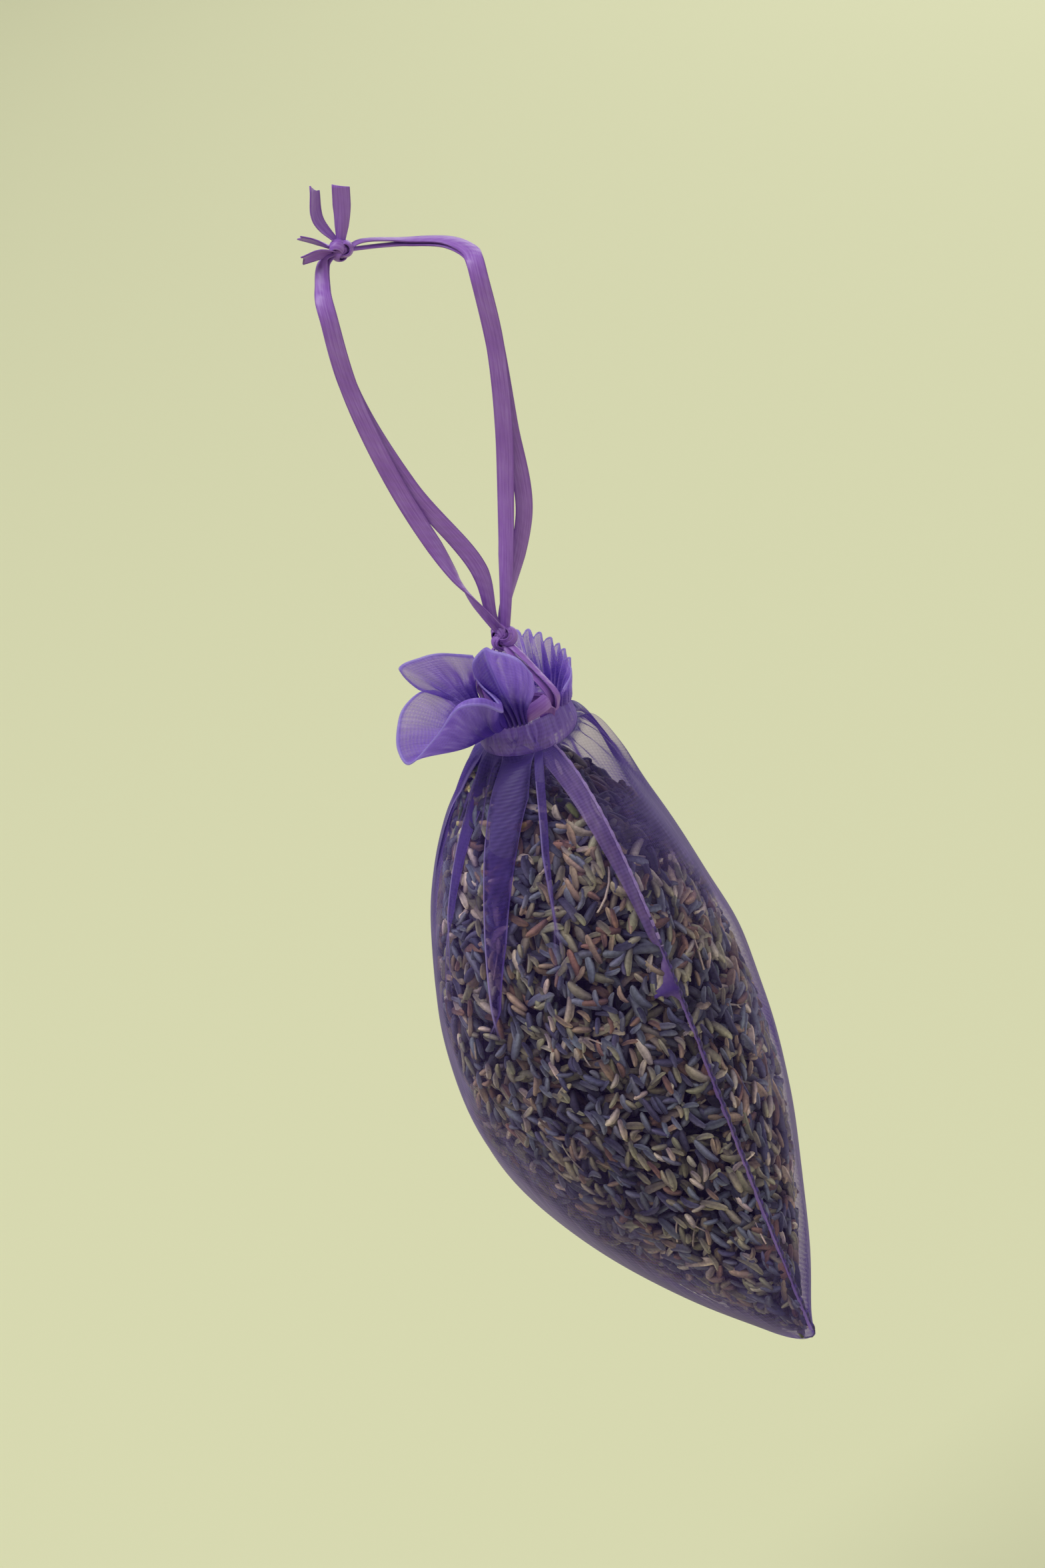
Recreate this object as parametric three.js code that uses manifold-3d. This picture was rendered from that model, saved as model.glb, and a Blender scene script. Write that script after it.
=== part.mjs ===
// Lavender sachet: a drawstring pouch of sheer organza, filled with dried lavender buds,
// its mouth drawn shut and hung on a loop of satin ribbon. Millimetres, +Z up.
// The origin is the middle of the hanging loop, where the peg goes through.
// X runs from side seam to side seam of the pouch, and the front panel faces -Y.

import * as THREE from "three";
import { mergeVertices } from "three/addons/utils/BufferGeometryUtils.js";
import Module from "manifold-3d";

const wasm = await Module();
wasm.setup();

// Air between pieces that touch on the real sachet
const CLEARANCE = 0.3;

// Cloth and ribbon
const CLOTH_THICKNESS = 0.4;
const RIBBON_WIDTH = 3;
const RIBBON_THICKNESS = 0.4;
const RIBBON_PITCH = RIBBON_THICKNESS + CLEARANCE;
const RIBBON_CORNERS = [[-1, -1], [1, -1], [1, 1], [-1, 1]];

// Hanging loop: how far the ribbons lie to each side of the peg, and how the loop is turned
// about the plumb line against the pouch
const LOOP_TURN = THREE.MathUtils.degToRad(63);
const LEFT_SHOULDER = 14.5;
const RIGHT_SHOULDER = 11.5;
const LOOP_DEPTH = 11.5;
const BIGHT_RISE = 3.4;
const SHOULDER_FOLD = 0.9;
const STRAND_SPLIT = 4;

// Bends of the strands: how far out, as a share of the shoulder's width, how far down, as a share
// of the drop to the neck knot, and how far the rear strand stands aside, as a share of the split
const LEFT_BENDS = [[0.98, 0.242, 0], [0.745, 0.53, 0.45], [0.345, 0.803, 1]];
const RIGHT_BENDS = [[0.983, 0.212, 0], [0.8, 0.439, 0.25], [0.487, 0.682, 0.85]];

// Knots: radius of the cord ring that an overhand knot follows, and of the bunched ribbon in it
const KNOT_RING = 1.6;
const KNOT_TUBE = 0.55;
const KNOT_REACH = 1.5 * KNOT_RING + KNOT_TUBE;
const KNOT_SEAT = KNOT_REACH + CLEARANCE;
const PINCHED = 0.45;
const PINCH_SHARE = 0.25;
const TOP_KNOT = new THREE.Vector3(-9.6, 7, 6);

// Ribbon tails beyond the top knot
const TAIL_LONG = 8;
const TAIL_SHORT = 4.2;

// Heights, down from the peg
const NECK_KNOT_DROP = 66;
const NECK_DROP = 16;
const CASING_HEIGHT = 5;

// Drawn neck: radius of the inner drawstring, and the slot between the two casings at each side
const DRAWSTRING_RADIUS = 6.6;
const SEAM_THICKNESS = 0.5;
const SEAM_SPLIT = SEAM_THICKNESS / 2 + CLEARANCE;
const GATHER_DEPTH = 0.8;
const GATHERS = 5;

// Frills above the casings: cloth length, and the crinkles in the back one, which start shallow.
// Each line of a table is a point of the free edge, from one slit to the other: angles of the cloth
// at the casing and at the edge, from the front towards the right seam, then how far out and up the
// edge lies, then how the cloth leans at the casing and at the edge, and how long it keeps that lean.
// Angles are in degrees, and the other values are shares of the cloth length.
const FRONT_FRILL = 20;
const BACK_FRILL = 11;
const CRINKLE_DEPTH = 0.8;
const CRINKLES = 9;
const CRINKLE_START = 0.4;
const FRILL_RISE = 0.36;
const [ROOT_TURN, ROOT_LEAN, EDGE_LEAN, EDGE_HOLD] = [0, 4, 5, 6];
const FRONT_LOBES = [
  [64, 74, 0.38, 0.58, 60, 95, 0.3],
  [61, 69, 0.33, 0.72, 65, 105, 0.3],
  [57, 59.5, 0.23, 0.78, 65, 112, 0.32],
  [53, 46, 0.18, 0.805, 70, 108, 0.32],
  [49, 31, 0.17, 0.72, 75, 95, 0.3],
  [45, 30, 0.16, 0.53, 70, 70, 0.25],
  [41, 44, 0.23, 0.37, 45, 10, 0.2],
  [37, 50, 0.37, 0.3, 10, -60, 0.25],
  [32, 41, 0.45, 0.42, 0, -60, 0.27],
  [27, 28, 0.515, 0.43, -4, -50, 0.25],
  [21, 15, 0.64, 0.21, -6, -35, 0.22],
  [15, 4, 0.84, 0.015, -6, -10, 0.25],
  [9, -4, 0.815, 0.1, -2, 5, 0.3],
  [3, -14, 0.7, 0.215, 5, 15, 0.32],
  [-4, -18, 0.6, 0.325, 15, 20, 0.3],
  [-11, -23, 0.41, 0.39, 40, 30, 0.25],
  [-18, -27, 0.28, 0.34, 60, 35, 0.2],
  [-23, -18, 0.42, 0.45, 60, 38, 0.25],
  [-29, -14, 0.55, 0.715, 62, 42, 0.32],
  [-37, -30, 0.33, 0.66, 65, 52, 0.3],
  [-46, -50, 0.21, 0.57, 70, 62, 0.3],
  [-55, -64, 0.12, 0.49, 75, 68, 0.3],
  [-64, -80, 0.09, 0.41, 78, 72, 0.3],
];
const BACK_LOBES = [
  [116, 114, 0.19, 0.34, 70, 62, 0.3],
  [142, 142, 0.16, 0.46, 74, 72, 0.3],
  [173, 173, 0.14, 0.64, 75, 76, 0.3],
  [205, 206, 0.13, 0.85, 75, 75, 0.3],
  [227, 229, 0.16, 0.9, 72, 66, 0.3],
  [244, 248, 0.26, 0.74, 70, 56, 0.3],
];

// Filled pouch: its side line and each panel's crown line, out from the plumb line and down from the
// casing. The back panel hangs straighter from the neck and sags more towards the bottom.
const POUCH_DROP = 106;
const SHOULDER_OUT = 28;
const SHOULDER_DROP = 0.075 * POUCH_DROP;
const FLANK_OUT = 32.5;
const FLANK_DROP = 0.604 * POUCH_DROP;
const CORNER_OUT = 47;
const FRONT_CROWN_OUT = 30;
const FRONT_CROWN_DROP = 0.236 * POUCH_DROP;
const FRONT_BELLY_OUT = 43;
const FRONT_BELLY_DROP = 0.726 * POUCH_DROP;
const BACK_CROWN_OUT = 20;
const BACK_CROWN_DROP = 0.094 * POUCH_DROP;
const BACK_BELLY_OUT = 51;
const BACK_BELLY_DROP = 0.943 * POUCH_DROP;
const BOTTOM_SAG = 8;
const GATHER_REACH = 0.42;

// Seam allowances
const SEAM_WIDTH = 3;
const SEAM_LIP = 0.8;
const SIDE_SEAM_START = 0.06;
const SIDE_SEAM_END = 0.94;

// Lavender: the heap's top below the casing and its slope towards the loop's right, the dimples between
// its clumps of buds, and the loose buds on it
const FILL_DROP = 6;
const HEAP_SLOPE = 1;
const FILL_START = 0.02;
const FILL_END = 0.95;
const DIMPLE_DEPTH = 1.6;
const BUD_LENGTH = 5;
const BUD_RADIUS = 0.95;
const BUD_SIDES = 8;
const LOOSE_BUDS = 12;

// Places worked out from the sizes above
const NECK_KNOT_Z = -NECK_KNOT_DROP;
const CASING_Z = NECK_KNOT_Z - NECK_DROP;
const CASING_TOP = CASING_Z + CASING_HEIGHT / 2;
const CASING_BASE = CASING_Z - CASING_HEIGHT / 2;
const PANEL_TOP = CASING_BASE - CLEARANCE - CLOTH_THICKNESS / 2;
const CHANNEL_INNER = DRAWSTRING_RADIUS - RIBBON_THICKNESS / 2 - CLEARANCE;
const CHANNEL_OUTER = CHANNEL_INNER + 2 * RIBBON_PITCH + CLEARANCE;
const CHANNEL_HEIGHT = RIBBON_WIDTH + 2 * CLEARANCE;
const NECK_INNER = CHANNEL_INNER - CLOTH_THICKNESS;
const NECK_RADIUS = CHANNEL_OUTER + CLOTH_THICKNESS;

// Steps along and around the pieces
const PANEL_COLUMNS = 8 * GATHERS;
const PANEL_ROWS = 14;
const FRILL_COLUMNS = 66;
const FRILL_ROWS = 8;
const RING_STEPS = 80;
const FILL_COLUMNS = 44;
const FILL_ROWS = 26;
const SEAM_STEPS = 24;

// Materials

function material(colour, roughness) {
  return new THREE.MeshStandardMaterial({ color: colour, roughness, metalness: 0 });
}

const organza = material("#7452a2", 0.55);
const satin = material("#8357a5", 0.35);
const seamThread = material("#4a3180", 0.7);
const lavender = material("#565a74", 0.9);

const sachet = new THREE.Group();
const pouch = new THREE.Group();
const loop = new THREE.Group();
loop.rotation.z = LOOP_TURN;
sachet.add(pouch, loop);

function addPiece(parent, name, geometry, finish) {
  const mesh = new THREE.Mesh(geometry, finish);
  mesh.name = name;
  parent.add(mesh);
}

// Closed solids from grids of points

function facesOf(columns, rows, index) {
  const faces = [];
  for (let i = 0; i < columns; i += 1) {
    for (let j = 0; j < rows; j += 1) {
      const a = index(i, j);
      const b = index(i + 1, j);
      const c = index(i + 1, j + 1);
      const d = index(i, j + 1);
      faces.push(a, b, c, a, c, d);
    }
  }
  return faces;
}

function closedGeometry(points, faces) {
  const geometry = new THREE.BufferGeometry().setFromPoints(points);
  geometry.setIndex(faces);
  const merged = mergeVertices(geometry, 1e-5);
  if (signedVolume(merged) < 0) {
    merged.setIndex(Array.from(merged.index.array).reverse());
  }
  merged.computeVertexNormals();
  return merged;
}

function signedVolume(geometry) {
  const corners = geometry.attributes.position;
  const index = geometry.index.array;
  const [a, b, c] = [new THREE.Vector3(), new THREE.Vector3(), new THREE.Vector3()];
  let total = 0;
  for (let k = 0; k < index.length; k += 3) {
    a.fromBufferAttribute(corners, index[k]);
    b.fromBufferAttribute(corners, index[k + 1]);
    c.fromBufferAttribute(corners, index[k + 2]);
    total += a.dot(b.cross(c)) / 6;
  }
  return total;
}

// A cloth sheet: the surface point(u, v) with half the thickness on each side of it
function sheet(point, columns, rows, thickness) {
  const step = 1e-4;
  const faceNormal = (u, v) => {
    const across = point(Math.min(u + step, 1), v).sub(point(Math.max(u - step, 0), v));
    const along = point(u, Math.min(v + step, 1)).sub(point(u, Math.max(v - step, 0)));
    return across.cross(along).normalize();
  };
  const points = [];
  for (const side of [1, -1]) {
    for (let i = 0; i <= columns; i += 1) {
      for (let j = 0; j <= rows; j += 1) {
        const [u, v] = [i / columns, j / rows];
        points.push(point(u, v).addScaledVector(faceNormal(u, v), (side * thickness) / 2));
      }
    }
  }
  const layer = (columns + 1) * (rows + 1);
  const front = (i, j) => i * (rows + 1) + j;
  const back = (i, j) => layer + front(i, j);
  const rim = [];
  for (let i = 0; i <= columns; i += 1) rim.push([i, 0]);
  for (let j = 1; j <= rows; j += 1) rim.push([columns, j]);
  for (let i = columns - 1; i >= 0; i -= 1) rim.push([i, rows]);
  for (let j = rows - 1; j >= 0; j -= 1) rim.push([0, j]);
  const faces = [
    ...facesOf(columns, rows, front),
    ...facesOf(columns, rows, (i, j) => back(columns - i, j)),
    ...facesOf(rim.length - 1, 1, (i, j) => (j ? front : back)(...rim[i])),
  ];
  return closedGeometry(points, faces);
}

// A ribbon along a curve, with a flat section that turns from one facing to the other
function ribbon(curve, steps, facings, pinches = [1, 1]) {
  const points = [];
  const [startFacing, endFacing] = facings;
  for (let i = 0; i <= steps; i += 1) {
    const t = i / steps;
    const tangent = curve.getTangent(t);
    const facing = startFacing.clone().lerp(endFacing, t);
    const across = tangent.clone().cross(facing).normalize();
    const outward = across.clone().cross(tangent).normalize();
    const startPinch = THREE.MathUtils.lerp(pinches[0], 1, Math.min(1, t / PINCH_SHARE));
    const endPinch = THREE.MathUtils.lerp(pinches[1], 1, Math.min(1, (1 - t) / PINCH_SHARE));
    const half = (RIBBON_WIDTH / 2) * startPinch * endPinch;
    for (const [w, n] of RIBBON_CORNERS) {
      const corner = curve.getPoint(t).addScaledVector(across, w * half);
      points.push(corner.addScaledVector(outward, (n * RIBBON_THICKNESS) / 2));
    }
  }
  return tubeOf(points, RIBBON_CORNERS.length, steps);
}

// Rings of points joined into a tube, with flat ends
function tubeOf(points, ringSize, steps) {
  const index = (i, j) => j * ringSize + (i % ringSize);
  const faces = facesOf(ringSize, steps, index);
  for (let i = 1; i < ringSize - 1; i += 1) {
    faces.push(index(0, 0), index(i + 1, 0), index(i, 0));
    faces.push(index(0, steps), index(i, steps), index(i + 1, steps));
  }
  return closedGeometry(points, faces);
}

function curveThrough(...points) {
  return new THREE.CatmullRomCurve3(points.map((p) => new THREE.Vector3(...p)));
}

// Solids that are cut by others

function toSolid(geometry) {
  const bare = new THREE.BufferGeometry();
  bare.setAttribute("position", geometry.attributes.position.clone());
  bare.setIndex(geometry.index);
  const merged = mergeVertices(bare, 1e-5);
  const mesh = new wasm.Mesh({
    numProp: 3,
    vertProperties: new Float32Array(merged.attributes.position.array),
    triVerts: new Uint32Array(merged.index.array),
  });
  return new wasm.Manifold(mesh);
}

function fromSolid(solid) {
  const mesh = solid.getMesh();
  const geometry = new THREE.BufferGeometry();
  geometry.setAttribute("position", new THREE.BufferAttribute(mesh.vertProperties, 3));
  geometry.setIndex(new THREE.BufferAttribute(mesh.triVerts, 1));
  geometry.computeVertexNormals();
  return geometry;
}

function boxBetween(low, high) {
  const size = new THREE.Vector3(...high).sub(new THREE.Vector3(...low));
  const geometry = new THREE.BoxGeometry(size.x, size.y, size.z);
  geometry.translate(low[0] + size.x / 2, low[1] + size.y / 2, low[2] + size.z / 2);
  return geometry;
}

// Pouch: the line of a side seam and the line of a panel's crown, from casing to bottom

const seamLine = new THREE.CubicBezierCurve(
  new THREE.Vector2(NECK_RADIUS, PANEL_TOP),
  new THREE.Vector2(SHOULDER_OUT, PANEL_TOP - SHOULDER_DROP),
  new THREE.Vector2(FLANK_OUT, PANEL_TOP - FLANK_DROP),
  new THREE.Vector2(CORNER_OUT, PANEL_TOP - POUCH_DROP),
);

function crownLine(crownOut, crownDrop, bellyOut, bellyDrop) {
  return new THREE.CubicBezierCurve(
    new THREE.Vector2(NECK_RADIUS, PANEL_TOP),
    new THREE.Vector2(crownOut, PANEL_TOP - crownDrop),
    new THREE.Vector2(bellyOut, PANEL_TOP - bellyDrop),
    new THREE.Vector2(0, PANEL_TOP - POUCH_DROP - BOTTOM_SAG),
  );
}

const FRONT = -1;
const BACK = 1;
const frontCrown = crownLine(FRONT_CROWN_OUT, FRONT_CROWN_DROP, FRONT_BELLY_OUT, FRONT_BELLY_DROP);
const backCrown = crownLine(BACK_CROWN_OUT, BACK_CROWN_DROP, BACK_BELLY_OUT, BACK_BELLY_DROP);
const crownOf = (side) => (side === FRONT ? frontCrown : backCrown);

function gather(angle, fade) {
  return GATHER_DEPTH * fade * Math.sin(angle) * Math.cos(2 * GATHERS * angle);
}

// Half an oval section at each height, from the right seam round to the left one
function panelPoint(side, u, v) {
  const angle = Math.PI * u;
  const seam = seamLine.getPoint(v);
  const crown = crownOf(side).getPoint(v);
  const swell = Math.sin(angle);
  const pleat = gather(angle, Math.max(0, 1 - v / GATHER_REACH) ** 2);
  return new THREE.Vector3(
    (seam.x + pleat) * Math.cos(angle),
    side * (SEAM_SPLIT + (crown.x + pleat) * swell),
    THREE.MathUtils.lerp(seam.y, crown.y, swell),
  );
}

for (const [name, side] of [["front_panel", FRONT], ["back_panel", BACK]]) {
  const panel = sheet((u, v) => panelPoint(side, u, v), PANEL_COLUMNS, PANEL_ROWS, CLOTH_THICKNESS);
  addPiece(pouch, name, panel, organza);
}

// Seam allowances, standing between the two panels' edges

function seamStrip(outline) {
  const options = { depth: SEAM_THICKNESS, bevelEnabled: false };
  const geometry = new THREE.ExtrudeGeometry(new THREE.Shape(outline), options);
  geometry.translate(0, 0, -SEAM_THICKNESS / 2);
  geometry.rotateX(Math.PI / 2);
  return geometry;
}

function sideSeamOutline(hand) {
  const lip = [];
  const edge = [];
  for (let i = 0; i <= SEAM_STEPS; i += 1) {
    const t = THREE.MathUtils.lerp(SIDE_SEAM_START, SIDE_SEAM_END, i / SEAM_STEPS);
    const point = seamLine.getPoint(t);
    const along = seamLine.getTangent(t);
    const outward = new THREE.Vector2(-along.y, along.x);
    lip.push(point.clone().addScaledVector(outward, SEAM_LIP));
    edge.push(point.clone().addScaledVector(outward, -SEAM_WIDTH));
  }
  return [...lip, ...edge.reverse()].map((p) => new THREE.Vector2(hand * p.x, p.y));
}

addPiece(pouch, "right_side_seam", seamStrip(sideSeamOutline(1)), seamThread);
addPiece(pouch, "left_side_seam", seamStrip(sideSeamOutline(-1)), seamThread);

function bottomSeamOutline() {
  const lip = [];
  const edge = [];
  for (let i = 0; i <= SEAM_STEPS; i += 1) {
    const point = panelPoint(FRONT, i / SEAM_STEPS, 1);
    const inset = (CORNER_OUT - SEAM_WIDTH) / CORNER_OUT;
    lip.push(new THREE.Vector2(point.x, point.z - SEAM_LIP));
    edge.push(new THREE.Vector2(inset * point.x, point.z + SEAM_WIDTH));
  }
  return [...lip, ...edge.reverse()];
}

addPiece(pouch, "bottom_seam", seamStrip(bottomSeamOutline()), seamThread);

// Casings: two gathered half rings with a channel for the drawstrings, open at the side seams

function revolve(inner, outer, low, high) {
  const profile = [[inner, low], [outer, low], [outer, high], [inner, high], [inner, low]];
  const points = profile.map(([r, z]) => new THREE.Vector2(r, z));
  return new THREE.LatheGeometry(points, RING_STEPS).rotateX(Math.PI / 2);
}

function gatheredRing() {
  const ring = revolve(NECK_INNER, NECK_RADIUS, CASING_BASE, CASING_TOP);
  const corners = ring.attributes.position;
  for (let k = 0; k < corners.count; k += 1) {
    const [x, y] = [corners.getX(k), corners.getY(k)];
    const radius = Math.hypot(x, y);
    if (radius > CHANNEL_OUTER) {
      const swollen = 1 + Math.abs(gather(Math.atan2(y, x), 1)) / radius;
      corners.setXY(k, x * swollen, y * swollen);
    }
  }
  return ring;
}

const channelLow = CASING_Z - CHANNEL_HEIGHT / 2;
const channelHigh = CASING_Z + CHANNEL_HEIGHT / 2;
const channel = toSolid(revolve(CHANNEL_INNER, CHANNEL_OUTER, channelLow, channelHigh));
const casingRing = toSolid(gatheredRing()).subtract(channel);
const casingReach = NECK_RADIUS + GATHER_DEPTH;
const frontHalf = boxBetween(
  [-casingReach, -casingReach, CASING_BASE],
  [casingReach, -SEAM_SPLIT, CASING_TOP],
);
const backHalf = boxBetween(
  [-casingReach, SEAM_SPLIT, CASING_BASE],
  [casingReach, casingReach, CASING_TOP],
);
addPiece(pouch, "front_casing", fromSolid(casingRing.intersect(toSolid(frontHalf))), organza);
addPiece(pouch, "back_casing", fromSolid(casingRing.intersect(toSolid(backHalf))), organza);

// Frills: the header above each casing, which opens out into lobes

function outwardAt(degrees) {
  const angle = THREE.MathUtils.degToRad(degrees);
  return new THREE.Vector3(Math.sin(angle), -Math.cos(angle), 0);
}

// A step of the cloth that leans by this many degrees from level, up along its outward direction
function leaning(outward, degrees, length) {
  const angle = THREE.MathUtils.degToRad(degrees);
  const step = outward.clone().multiplyScalar(length * Math.cos(angle));
  return step.add(new THREE.Vector3(0, 0, length * Math.sin(angle)));
}

function between(lobes, column, u) {
  const place = u * (lobes.length - 1);
  const before = Math.min(Math.floor(place), lobes.length - 2);
  return THREE.MathUtils.lerp(lobes[before][column], lobes[before + 1][column], place - before);
}

function frillSurface(lobes, length, foldsAt) {
  const rootZ = CASING_TOP + CLEARANCE + CLOTH_THICKNESS / 2;
  const edge = new THREE.CatmullRomCurve3(lobes.map(([, turn, out, up]) => {
    const point = outwardAt(turn).multiplyScalar(NECK_RADIUS + out * length);
    return point.setZ(rootZ + up * length);
  }));
  return (u, v) => {
    const outward = outwardAt(between(lobes, ROOT_TURN, u));
    const root = outward.clone().multiplyScalar(NECK_RADIUS).setZ(rootZ);
    const rise = root.clone().add(leaning(outward, between(lobes, ROOT_LEAN, u), FRILL_RISE * length));
    const tip = edge.getPoint(u);
    const tipOutward = tip.clone().setZ(0).normalize();
    const hold = between(lobes, EDGE_HOLD, u) * length;
    const flare = tip.clone().sub(leaning(tipOutward, between(lobes, EDGE_LEAN, u), hold));
    const point = new THREE.CubicBezierCurve3(root, rise, flare, tip).getPoint(v);
    return point.addScaledVector(tipOutward, foldsAt(u, v));
  };
}

function wavesAlong(u, number) {
  return Math.sin(Math.PI * u) * Math.cos(2 * Math.PI * number * u);
}

const gathered = (u, v) => GATHER_DEPTH * (1 - v) ** 2 * wavesAlong(u, GATHERS);
const crinkleDepth = (v) => CRINKLE_DEPTH * THREE.MathUtils.lerp(CRINKLE_START, 1, v);
const crinkled = (u, v) => crinkleDepth(v) * wavesAlong(u, CRINKLES);
const frills = [
  ["front_frill", frillSurface(FRONT_LOBES, FRONT_FRILL, gathered)],
  ["back_frill", frillSurface(BACK_LOBES, BACK_FRILL, crinkled)],
];
for (const [name, surface] of frills) {
  addPiece(pouch, name, sheet(surface, FRILL_COLUMNS, FRILL_ROWS, CLOTH_THICKNESS), organza);
}

// Drawstrings: two open rings in the casings, one with its ends at each side seam

function drawstring(radius, openAt) {
  const mouth = Math.asin((SEAM_SPLIT + RIBBON_THICKNESS) / radius);
  const points = [];
  for (let i = 0; i <= RING_STEPS / 2; i += 1) {
    const angle = openAt + THREE.MathUtils.lerp(mouth, 2 * Math.PI - mouth, (2 * i) / RING_STEPS);
    for (const [w, n] of RIBBON_CORNERS) {
      const r = radius + (n * RIBBON_THICKNESS) / 2;
      const z = CASING_Z + (w * RIBBON_WIDTH) / 2;
      points.push(new THREE.Vector3(r * Math.cos(angle), r * Math.sin(angle), z));
    }
  }
  return tubeOf(points, RIBBON_CORNERS.length, RING_STEPS / 2);
}

addPiece(pouch, "right_drawstring", drawstring(DRAWSTRING_RADIUS, 0), satin);
addPiece(pouch, "left_drawstring", drawstring(DRAWSTRING_RADIUS + RIBBON_PITCH, Math.PI), satin);

// Risers: each drawstring's two ends, from its slot up through the frill's slit to the neck knot

const facingOut = new THREE.Vector3(1, 0, 0);
const facingUp = new THREE.Vector3(0, 0, 1);
const riserOut = NECK_RADIUS + CLEARANCE + RIBBON_THICKNESS / 2;
const riserSpread = 0.3 * RIBBON_WIDTH;
const riserEnd = new THREE.Vector3(0.6, 0, -0.8).multiplyScalar(KNOT_SEAT);
for (const [hand, name] of [[1, "right"], [-1, "left"]]) {
  for (const [layer, side, order] of [[0, -1, "front"], [1, 1, "rear"]]) {
    const out = riserOut + layer * RIBBON_PITCH;
    const y = side * riserSpread;
    const lift = layer * RIBBON_PITCH;
    const route = curveThrough(
      [hand * out, y, CASING_Z - RIBBON_WIDTH / 2],
      [hand * (out + CLEARANCE), y, CASING_Z + RIBBON_WIDTH / 2],
      [hand * out, y, CASING_TOP + 2 * CLEARANCE],
      [hand * (riserEnd.x + lift), y, NECK_KNOT_Z + riserEnd.z + lift / 2],
    );
    const facings = [facingOut.clone().multiplyScalar(hand), facingUp];
    addPiece(pouch, `${name}_riser_${order}`, ribbon(route, 14, facings, [1, PINCHED]), satin);
  }
}

// Lavender: the heap of buds that fills the pouch. Every other point is dimpled in, so that clumps of
// buds stand out between, and the heap is grooved where a side seam's allowance presses into it.

const fillInset = CLOTH_THICKNESS / 2 + 3 * CLEARANCE;

function fillRing(v, row) {
  const seam = seamLine.getPoint(v);
  const groove = (SEAM_WIDTH + 2 * CLEARANCE) / Math.abs(seamLine.getTangent(v).y);
  const points = [];
  for (let i = 0; i < FILL_COLUMNS; i += 1) {
    const angle = (2 * Math.PI * i) / FILL_COLUMNS;
    const crown = crownOf(Math.sign(Math.sin(angle))).getPoint(v);
    const inset = fillInset + DIMPLE_DEPTH * ((i + row) % 2);
    const atSeam = i % (FILL_COLUMNS / 2) === 0;
    points.push(new THREE.Vector3(
      (seam.x - (atSeam ? groove : inset)) * Math.cos(angle),
      atSeam ? 0 : (crown.x - inset) * Math.sin(angle),
      THREE.MathUtils.lerp(seam.y, crown.y, Math.abs(Math.sin(angle))),
    ));
  }
  return points;
}

const fillLevel = PANEL_TOP - FILL_DROP;
const downhill = new THREE.Vector3(Math.cos(LOOP_TURN), Math.sin(LOOP_TURN), 0);
const heapNormal = downhill.clone().multiplyScalar(HEAP_SLOPE).setZ(1).normalize();
const fillRings = [];
for (let j = 0; j <= FILL_ROWS; j += 1) {
  fillRings.push(...fillRing(THREE.MathUtils.lerp(FILL_START, FILL_END, j / FILL_ROWS), j));
}
const filled = toSolid(tubeOf(fillRings, FILL_COLUMNS, FILL_ROWS));
const heap = filled.trimByPlane(heapNormal.clone().negate().toArray(), -fillLevel * heapNormal.z);
addPiece(pouch, "lavender_fill", fromSolid(heap), lavender);

// Loose buds lying on the heap: ribbed spindles, blunt at the open end and narrow at the stalk

function budGeometry() {
  const profile = [[0, -0.5], [0.35, -0.47], [0.85, -0.2], [1, 0.08], [0.8, 0.36], [0.5, 0.5], [0, 0.46]];
  const points = profile.map(([r, y]) => new THREE.Vector2(r * BUD_RADIUS, y * BUD_LENGTH));
  return new THREE.LatheGeometry(points, BUD_SIDES).rotateZ(Math.PI / 2);
}

// How far a line of the pouch lies from the plumb line at the top of the heap
function outAtLevel(line) {
  let [above, below] = [0, 1];
  for (let round = 0; round < 30; round += 1) {
    const middle = (above + below) / 2;
    if (line.getPoint(middle).y > fillLevel) above = middle;
    else below = middle;
  }
  return line.getPoint(above).x;
}

const goldenAngle = Math.PI * (3 - Math.sqrt(5));
const budSpread = Math.min(outAtLevel(seamLine), outAtLevel(frontCrown)) - BUD_LENGTH;
const budTurn = 1.9 * goldenAngle;
const layOnSlope = new THREE.Quaternion().setFromUnitVectors(facingUp, heapNormal);
for (let k = 0; k < LOOSE_BUDS; k += 1) {
  const bud = budGeometry();
  const reach = budSpread * Math.sqrt((k + 0.5) / LOOSE_BUDS);
  const place = downhill.clone().multiplyScalar((budSpread * HEAP_SLOPE) / 2);
  place.add(new THREE.Vector3(Math.cos(goldenAngle * k), Math.sin(goldenAngle * k), 0).multiplyScalar(reach));
  place.setZ(fillLevel - HEAP_SLOPE * place.dot(downhill));
  place.addScaledVector(heapNormal, CLEARANCE + BUD_RADIUS);
  bud.rotateZ(budTurn * k);
  bud.applyQuaternion(layOnSlope);
  bud.translate(place.x, place.y, place.z);
  addPiece(pouch, `lavender_bud_${k + 1}`, bud, lavender);
}

// Knots: overhand knots of bunched ribbon

function overhandKnot(place) {
  const geometry = new THREE.TorusKnotGeometry(KNOT_RING, KNOT_TUBE, 48, 6, 2, 3);
  geometry.rotateX(Math.PI / 2);
  geometry.translate(place.x, place.y, place.z);
  return geometry;
}

const neckKnot = new THREE.Vector3(0, 0, NECK_KNOT_Z);
addPiece(loop, "neck_knot", overhandKnot(neckKnot), satin);
addPiece(loop, "top_knot", overhandKnot(TOP_KNOT), satin);

// Strands: two ribbons on each side, from the shoulders of the loop down to the neck knot

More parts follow.
